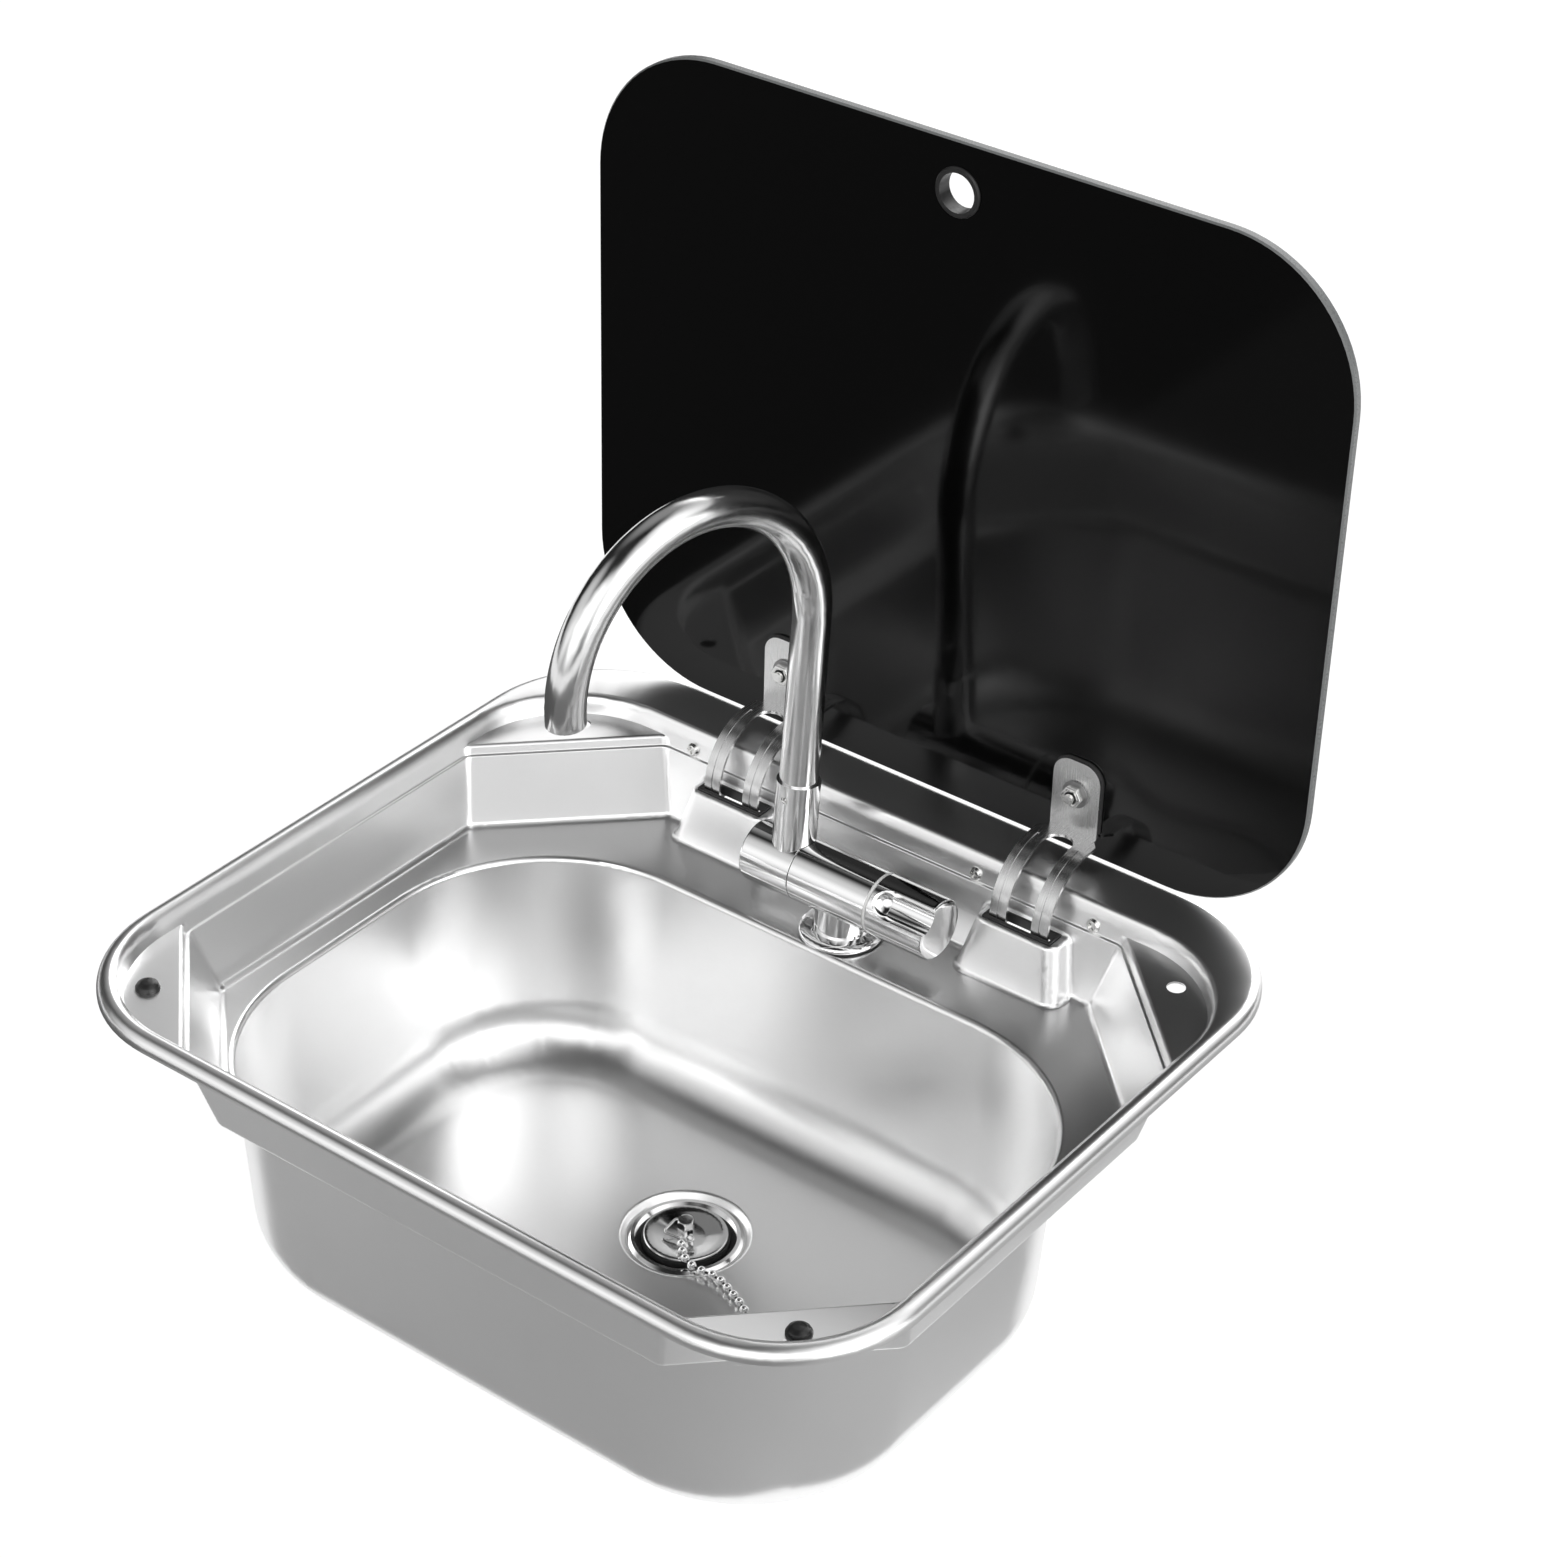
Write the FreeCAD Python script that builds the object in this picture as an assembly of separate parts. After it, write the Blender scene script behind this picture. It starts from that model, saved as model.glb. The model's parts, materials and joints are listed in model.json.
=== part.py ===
import FreeCAD, Part
import math
import os

# Camper sink: a drawn steel tray and bowl under a hinged glass lid, with a folding tap, a waste and a
# stopper on a ball chain. Millimetres and degrees. X runs along the width, +Y points to the rear where the
# lid hinges, +Z points up. The origin is the centre of the worktop cut-out, on the worktop's top face.

os.makedirs("parts", exist_ok=True)
V = FreeCAD.Vector
X_AXIS = V(1, 0, 0)
Y_AXIS = V(0, 1, 0)
Z_AXIS = V(0, 0, 1)

# Driving dimensions of the pressed rim and tray
rim_width = 420.0
rim_depth = 370.0
rim_corner_radius = 68.0
rim_height = 6.5
rim_edge_round = 5.5
side_rim_width = 9.0
rear_rim_width = 32.0
mouth_flare = 2.0
sheet = 1.0
wall_draft = 13.0
diagonal_draft = 19.5
plateau_drop = 9.5
step_drop = 14.0
step_width = 1.2
deck_drop = 47.0
front_corner_cut = 51.6
rear_corner_cut = 50.9
tray_corner_round = 6.0
plateau_edge_round = 2.0
step_round = 0.8
tray_floor_round = 4.0

# Driving dimensions of the bowl
bowl_side_margin = 15.0
bowl_front_margin = 12.0
bowl_rear_margin = 43.5
bowl_corner_margin = 5.9
bowl_draft = 3.7
bowl_drop = 153.0
bowl_floor_round = 30.0
bowl_mouth_round = 3.0
bowl_seam_below_deck = 9.0
drain_behind_centre = 4.0
drain_recess_radius = 30.0
drain_recess_slope = 2.6
drain_recess_depth = 3.0
drain_edge_round = 2.0
drain_hole_radius = 23.0

# Shared clearances and small sizes
overrun = 2.0
running_clearance = 0.05
seat_clearance = 0.3
assembly_clearance = 0.3

# Lid glass and its hinge line
lid_side_margin = 13.0
lid_front_margin = 12.5
lid_thickness = 4.8
lid_corner_radius = 66.0
lid_edge_round = 0.8
lid_above_rim = 0.5
finger_hole_radius = 9.0
finger_hole_below_top = 23.0
grommet_flange_radius = 11.5
grommet_flange_thickness = 1.4
grommet_wall = 1.2
hinge_from_mouth_side = 119.0
hinge_pin_behind_mouth = 15.5
hinge_pin_drop = 18.5

# Hinge arm: a forked steel strap bent on an arc about the pin
arm_radius = 30.0
arm_thickness = 1.5
arm_width = 31.4
arm_slot_width = 13.6
tab_width = 25.0
tab_height = 37.0
tab_corner_radius = 9.0
arm_tip_angle = 25.0
arm_hub_radius = 6.0
arm_ear_width = 6.0
arm_shoulder = 5.0
arm_bend_radius = 2.6
arm_groove_width = 1.2
arm_groove_depth = 0.4
pad_thickness = 1.0
pad_margin = 0.8
lid_bolt_radius = 2.5
lid_bolt_height = 20.0
lid_bolt_head_radius = 6.0
lid_bolt_head_height = 2.0
lid_bolt_tail = 2.2
lid_washer_radius = 5.6
lid_washer_thickness = 1.0
lid_nut_across_flats = 8.0
lid_nut_height = 3.6
bolt_hole_clearance = 0.25

# Hinge housing drawn into the tray, and the cassette behind it
housing_half_width = 22.0
housing_flare = 6.0
housing_top_drop = 20.5
housing_front_from_mouth = 18.5
housing_front_flare = 7.5
housing_corner_round = 7.0
housing_top_round = 2.5
housing_foot_round = 3.0
slot_half_width = 18.6
slot_front_from_mouth = 16.7
slot_rear_from_mouth = 6.5
bezel_lip = 1.4
bezel_height = 1.2
cassette_wall = 2.4
cassette_behind_pin = 6.5
cassette_below_pin = 15.5
cassette_plate = 2.5
cassette_ear_reach = 38.0
cassette_ear_top_depth = 5.0
hinge_pin_radius = 3.0
hinge_pin_overhang = 1.2
spring_washer_radius = 5.6
spring_washer_thickness = 0.9
hinge_screw_spread = 32.0
hinge_screw_drop = 10.6
hinge_screw_radius = 1.9
hinge_screw_head_radius = 3.3
hinge_screw_head_height = 2.0
hinge_screw_edge_share = 0.4
hinge_screw_crown_share = 0.7
hinge_screw_length = 9.0

# Lid bumpers and the two rear corner holes, placed from the diagonal wall and the corner's middle line
bumper_behind_wall = 14.5
bumper_sideways = 1.8
bumper_radius = 5.5
bumper_height = 4.0
bumper_dome_shares = [(0, 1), (0.5, 0.92), (0.85, 0.62), (1, 0.25)]
bumper_barb_tip_share = 0.6
bumper_stem_radius = 3.0
bumper_barb_radius = 4.2
corner_hole_behind_wall = 13.78
corner_hole_sideways = -8.85
corner_hole_radius = 4.25

# Seal under the rim
seal_width = 4.0
seal_height = 2.4

# Tap
tap_behind_mouth = 36.0
tap_axis_drop = 21.5
barrel_radius = 15.0
barrel_left = 21.0
barrel_right = 21.5
knuckle_length = 28.0
barrel_edge_round = 1.6
barrel_joint_round = 0.3
neck_top_radius = 11.0
neck_base_radius = 13.5
shank_radius = 12.0
shank_length = 34.0
escutcheon_radius = 20.0
escutcheon_height = 3.2
escutcheon_edge_share = 0.35
escutcheon_shoulder_shares = (0.3, 0.75)
deck_seal_radius = 18.5
deck_seal_thickness = 1.0
tap_washer_radius = 16.4
tap_washer_thickness = 2.0
tap_nut_radius = 16.0
tap_nut_height = 8.0
inlet_radius = 4.2
inlet_depth = 12.0
inlet_spacing = 11.0
pivot_spigot_radius = 8.0
pivot_spigot_length = 20.0
water_way_radius = 4.0
o_ring_section = 1.5
knuckle_cap_thickness = 3.0
cartridge_radius = 11.5
cartridge_length = 20.0
stem_radius = 4.0
stem_length = 12.0
white_washer_radius = 14.6
white_washer_thickness = 1.2
handle_length = 31.5
scoop_radius = 8.0
scoop_depth = 5.5
scoop_from_washer = 1.6
scoop_turn = 42.0
handle_end_round = 1.4
grub_screw_radius = 2.0
grub_screw_length = 6.0
grub_screw_from_washer = 8.0

# Spout
spout_left_of_neck = 29.0
collar_radius = 10.3
collar_height = 45.0
tube_radius = 9.0
tube_wall = 1.2
tube_insertion = 24.0
spout_leg = 128.8
spout_bend_radius = 70.5
spout_bend = 187.7
spout_lean = 4.1
spout_swivel = 10.5
set_screw_height = 38.0
set_screw_radius = 1.8
set_screw_sink = 0.5
straightener_length = 5.0
straightener_hole_radius = 1.5
straightener_hole_count = 6
straightener_ring_share = 0.6

# Waste and stopper
waste_flange_radius = 27.0
waste_flange_height = 1.8
waste_lip_radius = 23.5
waste_seat_radius = 20.6
waste_seat_taper = 1.7
waste_seat_top = -0.6
waste_seat_depth = 8.0
waste_bore_radius = 17.0
waste_thread_radius = 21.5
waste_thread_length = 26.0
strainer_bar = 3.0
strainer_drop = 12.0
waste_seal_radius = 30.0
waste_seal_thickness = 3.0
waste_nut_radius = 29.0
waste_nut_height = 8.0
waste_nut_grip_count = 6
waste_tail_wall = 3.0
waste_tail_taper = 14.0
waste_tail_radius = 12.5
waste_tail_length = 32.0
stopper_radius = 19.6
stopper_cap_thickness = 1.2
stopper_cap_lift = 2.2
stopper_dish = 2.0
stopper_dish_flat_radius = 9.0
stopper_dish_rim_radius = 17.5
stopper_post_flats = 7.0
stopper_post_height = 9.6
stopper_post_hole_height = 4.2
stopper_post_hole_radius = 1.6
stopper_screw_radius = 2.0
stopper_nut_height = 2.4

# Ball chain
chain_radius = 1.8
chain_bend_share = 0.45
ring_wire_radius = 0.6
ring_long_side = 18.5
ring_short_side = 9.4
ring_corner_radius = 1.4
ring_post_share = 0.4
ring_heading = -18.0
ring_slope = 11.0
ring_roll = 18.0
eye_radius = 2.2
eye_wire_radius = 0.45
chain_end_ring_radius = 4.5
# Points of the chain's route over the stopper and along the bowl's floor: X, Y from the drain's centre,
# and the height of the chain's middle over the bowl's floor
chain_route = [
    (5.2, -9.6, 1.9),
    (12.5, -18.0, 3.2),
    (22.0, -19.2, 2.2),
    (31.0, -16.8, 2.1),
    (42.0, -20.8, 2.1),
    (55.0, -26.5, 2.1),
    (66.5, -37.0, 2.1),
    (71.5, -54.0, 2.1),
    (65.0, -72.0, 2.1),
    (48.0, -84.0, 2.1),
    (26.0, -86.5, 2.1),
    (4.0, -80.0, 2.1),
    (-18.0, -77.5, 2.1),
    (-39.0, -84.0, 2.1),
    (-57.0, -95.0, 2.1),
]

# Places worked out from the driving dimensions
root_two = math.sqrt(2)
rim_top = rim_height
mouth_half_width = rim_width / 2 - side_rim_width
mouth_front = side_rim_width - rim_depth / 2
mouth_rear = rim_depth / 2 - rear_rim_width
mouth_corner_radius = rim_corner_radius - side_rim_width
front_diagonal_reach = (mouth_half_width - mouth_front) / root_two - front_corner_cut
rear_diagonal_reach = (mouth_half_width + mouth_rear) / root_two - rear_corner_cut
deck_z = rim_top - deck_drop
plateau_z = rim_top - plateau_drop
floor_z = rim_top - bowl_drop
seam_z = deck_z - bowl_seam_below_deck
recess_z = floor_z - drain_recess_depth
draft_run = math.tan(math.radians(wall_draft))
diagonal_run = math.tan(math.radians(diagonal_draft))
deck_inset = deck_drop * draft_run + step_width
deck_front = mouth_front + deck_inset
deck_rear = mouth_rear - deck_inset
deck_diagonal_reach = front_diagonal_reach - (deck_drop - plateau_drop) * diagonal_run - step_width
bowl_half_width = mouth_half_width - deck_inset - bowl_side_margin
bowl_front = deck_front + bowl_front_margin
bowl_rear = deck_rear - bowl_rear_margin
bowl_square_reach = (bowl_half_width - bowl_front) / root_two
bowl_corner_radius = (bowl_square_reach - deck_diagonal_reach + bowl_corner_margin) / (root_two - 1)
drain_y = drain_behind_centre
hinge_y = mouth_rear + hinge_pin_behind_mouth
hinge_z = rim_top - hinge_pin_drop
bumper_top = plateau_z + bumper_height
closed_gap = seat_clearance
lid_offset = bumper_top + closed_gap - hinge_z
lid_face_y = hinge_y + lid_offset
lid_bottom = rim_top + lid_above_rim
lid_top = hinge_z + hinge_y + rim_depth / 2 - lid_front_margin
tab_face_y = lid_face_y - pad_thickness
bolt_z = hinge_z + arm_radius + lid_bolt_height
housing_z = rim_top - housing_top_drop
housing_front = mouth_rear - housing_front_from_mouth
slot_front = mouth_rear - slot_front_from_mouth
slot_rear = mouth_rear - slot_rear_from_mouth
tap_y = mouth_rear - tap_behind_mouth
tap_z = rim_top - tap_axis_drop
spout_x = -spout_left_of_neck
hinge_x = mouth_half_width - hinge_from_mouth_side
hinge_sides = {"left": -hinge_x, "right": hinge_x}


def export(name, shape):
    """Write one sub-part and report its size."""
    shape.exportStep("parts/" + name + ".step")
    print(name, len(shape.Solids), "solid(s),", round(shape.Volume), "mm3, valid", shape.isValid())


def rod(radius, start, end):
    """Round bar between two points."""
    along = end - start
    return Part.makeCylinder(radius, along.Length, start, along)


def pipe(outer, inner, start, end):
    """Round tube between two points."""
    return rod(outer, start, end).cut(rod(inner, start, end))


def box_between(low, high):
    """Box from its lowest corner to its highest."""
    size = high - low
    return Part.makeBox(size.x, size.y, size.z, low)


def hexagon(flats, start, end):
    """Hexagonal prism between two points, one corner along X or Z."""
    along = end - start
    corner = flats / math.sqrt(3)
    sideways = X_AXIS if abs(along.x) < along.Length / 2 else Z_AXIS
    across = along.cross(sideways).normalize()
    points = []
    for step in range(6):
        turn = math.radians(60 * step)
        points.append(start + sideways * (corner * math.cos(turn)) + across * (corner * math.sin(turn)))
    return Part.Face(Part.makePolygon(points + [points[0]])).extrude(along)


def turned(profile, centre, axis=Z_AXIS):
    """Solid of revolution from (radius, height) pairs about an upright or X axis."""
    points = []
    for radius, height in profile:
        points.append(V(radius, 0, height))
    face = Part.Face(Part.makePolygon(points + [points[0]]))
    solid = face.revolve(V(0, 0, 0), Z_AXIS, 360)
    solid.Placement = FreeCAD.Placement(centre, FreeCAD.Rotation(Z_AXIS, axis))
    return solid


def rounded_rectangle(half_x, front, rear, radius, z):
    """Closed wire of a rectangle with four round corners."""
    k = radius * (1 - 1 / root_two)
    edges = []
    corners = [(1, front, 1), (1, rear, -1), (-1, rear, -1), (-1, front, 1)]
    stations = []
    for side, edge_y, inward in corners:
        along_x = V(side * (half_x - radius), edge_y, z)
        middle = V(side * (half_x - k), edge_y + inward * k, z)
        along_y = V(side * half_x, edge_y + inward * radius, z)
        stations.append((along_x, middle, along_y))
    order = [
        stations[0],
        (stations[1][2], stations[1][1], stations[1][0]),
        stations[2],
        (stations[3][2], stations[3][1], stations[3][0]),
    ]
    for place, (first, middle, last) in enumerate(order):
        edges.append(Part.Arc(first, middle, last).toShape())
        following = order[(place + 1) % len(order)][0]
        edges.append(Part.LineSegment(last, following).toShape())
    return Part.Wire(edges)


def loft(wires):
    """Ruled solid through a stack of wires."""
    return Part.makeLoft(wires, True, True)


def edges_where(shape, test):
    """Edges of a shape whose two ends pass a test."""
    chosen = []
    for edge in shape.Edges:
        ends = [vertex.Point for vertex in edge.Vertexes]
        if len(ends) == 2 and test(ends[0], ends[1]):
            chosen.append(edge)
    return chosen


def both_at(z):
    """Test for edges that lie at one height."""
    return lambda a, b: abs(a.z - z) < running_clearance and abs(b.z - z) < running_clearance


def upright(a, b):
    """Test for edges that climb from one height to another."""
    return abs(a.z - b.z) > sheet / 2


def plateau_edges(shape):
    """Straight edges between the corner plateaus and the diagonal walls."""
    chosen = []
    for edge in edges_where(shape, both_at(plateau_z)):
        chord = edge.Vertexes[0].Point - edge.Vertexes[1].Point
        straight = edge.Length - chord.Length < running_clearance
        if straight and abs(abs(chord.x) - abs(chord.y)) < overrun:
            chosen.append(edge)
    return chosen


# Tray and bowl pressing

def wall_inset(depth):
    """How far the tray wall has come in at a depth below the rim's top."""
    step = step_width if depth > step_drop else 0
    return depth * draft_run + step


def mouth_wire(depth, grow, z, flare=0):
    """Round-cornered outline of the tray above the corner plateaus."""
    inset = wall_inset(depth) - grow - flare
    radius = mouth_corner_radius - inset
    return rounded_rectangle(mouth_half_width - inset, mouth_front + inset, mouth_rear - inset, radius, z)


def octagon_wire(depth, grow, z, stepped):
    """Eight-sided outline of the tray below the corner plateaus."""
    step = step_width if stepped else 0
    inset = depth * draft_run + step - grow
    cut_in = (depth - plateau_drop) * diagonal_run + step - grow
    half_x = mouth_half_width - inset
    front = mouth_front + inset
    rear = mouth_rear - inset
    front_sum = (front_diagonal_reach - cut_in) * root_two
    rear_sum = (rear_diagonal_reach - cut_in) * root_two
    quarter = [
        (front_sum + front, front),
        (half_x, half_x - front_sum),
        (half_x, rear_sum - half_x),
        (rear_sum - rear, rear),
    ]
    points = [V(x, y, z) for x, y in quarter]
    points += [V(-x, y, z) for x, y in reversed(quarter)]
    return Part.makePolygon(points + [points[0]])


def tray_room(grow):
    """Room inside the tray walls, or the tray's outer form when grown by the sheet."""
    top_z = rim_top
    plateau = plateau_z - grow
    step_z = rim_top - step_drop - grow
    floor = deck_z - grow
    flare = loft([
        mouth_wire(mouth_flare, grow, top_z - mouth_flare),
        mouth_wire(0, grow, top_z, mouth_flare),
    ])
    upper = loft([
        mouth_wire(0, grow, top_z),
        mouth_wire(plateau_drop, grow, plateau),
    ])
    band = loft([
        octagon_wire(plateau_drop - overrun, grow, plateau + overrun, False),
        octagon_wire(step_drop, grow, step_z, False),
    ])
    lower = loft([
        octagon_wire(step_drop - overrun, grow, step_z + overrun, True),
        octagon_wire(deck_drop, grow, floor, True),
    ])
    band = band.makeFillet(tray_corner_round + step_width + grow, edges_where(band, upright))
    lower = lower.makeFillet(tray_corner_round + grow, edges_where(lower, upright))
    lower = lower.makeFillet(tray_floor_round + grow, edges_where(lower, both_at(floor)))
    if grow > 0:
        return upper.fuse([band, lower])
    band = band.makeFillet(step_round, edges_where(band, both_at(step_z)))
    room = upper.fuse([band, lower])
    room = room.makeFillet(plateau_edge_round, plateau_edges(room))
    room = room.makeFillet(step_round, edges_where(room, both_at(step_z)))
    return room.fuse(flare)


def bowl_outline(depth_below_deck, grow, z):
    """Round-cornered outline of the bowl at a depth below the deck."""
    inset = depth_below_deck * math.tan(math.radians(bowl_draft)) - grow
    radius = bowl_corner_radius - inset
    return rounded_rectangle(bowl_half_width - inset, bowl_front + inset, bowl_rear - inset, radius, z)


def bowl_room(grow):
    """Room inside the bowl, or its outer form when grown by the sheet."""
    floor = floor_z - grow
    room = loft([
        bowl_outline(-overrun, grow, deck_z + overrun - grow),
        bowl_outline(bowl_drop - deck_drop, grow, floor),
    ])
    room = room.makeFillet(bowl_floor_round + grow, edges_where(room, both_at(floor)))
    centre = V(0, drain_y, recess_z - grow)
    rate = (drain_recess_depth + overrun) / drain_recess_depth
    foot_radius = drain_recess_radius - drain_recess_slope + grow
    top_radius = foot_radius + drain_recess_slope * rate
    recess = Part.makeCone(foot_radius, top_radius, drain_recess_depth + overrun, centre)
    room = room.fuse(recess)
    def recess_edge(a, b):
        reach = max(abs(a.x), abs(b.x), abs(a.y - drain_y), abs(b.y - drain_y))
        return both_at(floor)(a, b) and reach < drain_recess_radius + sheet + overrun
    rims = [edge for edge in room.Edges if recess_edge(edge.Vertexes[0].Point, edge.Vertexes[-1].Point)]
    return room.makeFillet(drain_edge_round - grow, rims)


def bowl_mouth_edges(shape, z):
    """Edges where the bowl leaves the deck."""
    reach = bowl_half_width + sheet + overrun
    def on_mouth(a, b):
        level = abs(a.z - z) < running_clearance and abs(b.z - z) < running_clearance
        inside = max(abs(a.x), abs(b.x)) < reach and max(a.y, b.y) < bowl_rear + sheet + overrun
        return level and inside and min(a.y, b.y) > bowl_front - sheet - overrun
    return edges_where(shape, on_mouth)


def housing_block(middle_x, inset):
    """Box drawn into the tray round one hinge; inset by the sheet it is the room inside."""
    rear = mouth_rear + overrun
    top = housing_z - inset
    low = deck_z - sheet - overrun if inset else deck_z
    rate = (housing_z - low) / (housing_z - deck_z)
    flare = housing_flare * rate
    lean = housing_front_flare * rate
    half = housing_half_width - inset
    wires = []
    for z, out, forward in ((top, 0, 0), (low, flare, lean)):
        x_out = half + out
        front = housing_front + inset - forward
        points = [
            V(middle_x - x_out, rear, z),
            V(middle_x - x_out, front, z),
            V(middle_x + x_out, front, z),
            V(middle_x + x_out, rear, z),
        ]
        wires.append(Part.makePolygon(points + [points[0]]))
    block = loft(wires)
    def front_corner(a, b):
        return upright(a, b) and max(a.y, b.y) < mouth_rear - step_width
    block = block.makeFillet(housing_corner_round - inset, edges_where(block, front_corner))
    def top_edge(a, b):
        return both_at(top)(a, b) and min(a.y, b.y) < mouth_rear
    return block.makeFillet(housing_top_round, edges_where(block, top_edge))


def housing_foot_edges(shape):
    """Edges round the two housings where they rise from the deck."""
    reach = housing_half_width + housing_flare + running_clearance

    def at_foot(a, b):
        beside = max(abs(abs(a.x) - hinge_x), abs(abs(b.x) - hinge_x)) < reach
        return beside and both_at(deck_z)(a, b) and min(a.y, b.y) < deck_rear - tray_floor_round

    return edges_where(shape, at_foot)


def wall_point(depth):
    """Point of the rear tray wall's inner face at a depth below the rim's top."""
    return V(0, mouth_rear - wall_inset(depth), rim_top - depth)


wall_normal = V(0, -math.cos(math.radians(wall_draft)), math.sin(math.radians(wall_draft)))


def screw_places():
    """Seats of the four hinge screws on the rear wall."""
    seat = wall_point(hinge_screw_drop)
    places = []
    for middle_x in hinge_sides.values():
        for side in (-1, 1):
            places.append(V(middle_x + side * hinge_screw_spread, seat.y, seat.z))
    return places


def rim_shell():
    """Rolled rim, open underneath."""
    def block(inset, top):
        half_x = rim_width / 2 - inset
        half_y = rim_depth / 2 - inset
        radius = rim_corner_radius - inset
        wire = rounded_rectangle(half_x, -half_y, half_y, radius, 0)
        solid = Part.Face(wire).extrude(V(0, 0, top))
        return solid.makeFillet(rim_edge_round - inset, edges_where(solid, both_at(top)))
    return block(0, rim_top).cut(block(sheet, rim_top - sheet))


def plateau_place(edge_y, reach, behind_wall, sideways):
    """X and Y of a place on a right-hand corner plateau, behind its diagonal wall."""
    out = reach + behind_wall
    along = (mouth_half_width - abs(edge_y)) / root_two + sideways
    return (out + along) / root_two, math.copysign((out - along) / root_two, edge_y)


bumper_place = plateau_place(mouth_front, front_diagonal_reach, bumper_behind_wall, bumper_sideways)
corner_hole_place = plateau_place(
    mouth_rear, rear_diagonal_reach, corner_hole_behind_wall, corner_hole_sideways)


def pressing():
    """Rim, tray and bowl as one skin of sheet steel, before it is parted at the bowl's seam."""
    outer = tray_room(sheet)
    top_plate = box_between(
        V(-rim_width, -rim_depth, rim_top - sheet / 2),
        V(rim_width, rim_depth, rim_top + rim_height),
    )
    outer = outer.cut(top_plate)
    for middle_x in hinge_sides.values():
        outer = outer.cut(housing_block(middle_x, sheet))
    outer = outer.fuse(bowl_room(sheet))
    mouth = bowl_mouth_edges(outer, deck_z - sheet)
    outer = outer.makeFillet(bowl_mouth_round - sheet, mouth)
    inner = tray_room(0)
    for middle_x in hinge_sides.values():
        inner = inner.cut(housing_block(middle_x, 0))
    inner = inner.makeFillet(housing_foot_round, housing_foot_edges(inner))
    inner = inner.fuse(bowl_room(0))
    inner = inner.makeFillet(bowl_mouth_round, bowl_mouth_edges(inner, deck_z))
    skin = rim_shell().fuse(outer).cut(inner)
    holes = []
    for middle_x in hinge_sides.values():
        holes.append(box_between(
            V(middle_x - slot_half_width, slot_front, housing_z - housing_top_drop / 2),
            V(middle_x + slot_half_width, slot_rear, housing_z + overrun),
        ))
    for place in screw_places():
        radius = hinge_screw_radius + bolt_hole_clearance
        holes.append(rod(radius, place - wall_normal * (sheet + overrun), place + wall_normal * overrun))
    for side in (-1, 1):
        for place, radius in (
            (bumper_place, bumper_stem_radius + bolt_hole_clearance),
            (corner_hole_place, corner_hole_radius),
        ):
            foot = V(side * place[0], place[1], plateau_z - sheet - overrun)
            holes.append(rod(radius, foot, foot + Z_AXIS * (sheet + 2 * overrun)))
    tap_foot = V(0, tap_y, deck_z - sheet - overrun)
    holes.append(rod(shank_radius + assembly_clearance, tap_foot, tap_foot + Z_AXIS * (sheet + 2 * overrun)))
    drain_foot = V(0, drain_y, recess_z - sheet - overrun)
    holes.append(rod(drain_hole_radius, drain_foot, drain_foot + Z_AXIS * (sheet + 2 * overrun)))
    return skin.cut(holes)


def make_pan():
    """The pressing parted at the seam where the deep bowl is welded to the tray's drawn collar."""
    skin = pressing()
    below = box_between(
        V(-rim_width, -rim_depth, floor_z - bowl_drop),
        V(rim_width, rim_depth, seam_z),
    )
    export("top_tray", skin.cut(below))
    export("bowl", skin.common(below))


def make_rim_seal():
    """Soft ring between the rim's turned edge and the worktop."""
    def ring(inset):
        half_x = rim_width / 2 - inset
        half_y = rim_depth / 2 - inset
        wire = rounded_rectangle(half_x, -half_y, half_y, rim_corner_radius - inset, 0)
        return Part.Face(wire).extrude(V(0, 0, seal_height))
    outer_inset = sheet + assembly_clearance
    export("rim_seal", ring(outer_inset).cut(ring(outer_inset + seal_width)))


def make_bumpers():
    """Rubber domes in the front corner plateaus that the closed lid rests on."""
    for side, name in ((-1, "left"), (1, "right")):
        foot = V(side * bumper_place[0], bumper_place[1], plateau_z)
        low = -sheet - assembly_clearance
        profile = [(bumper_radius * out, bumper_height * up) for out, up in bumper_dome_shares]
        profile += [
            (bumper_radius, 0),
            (bumper_stem_radius, 0),
            (bumper_stem_radius, low),
            (bumper_barb_radius, low),
            (bumper_stem_radius * bumper_barb_tip_share, low - bumper_height),
            (0, low - bumper_height),
        ]
        export("lid_bumper_" + name, turned(profile, foot))


# Waste in the bowl's floor

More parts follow.
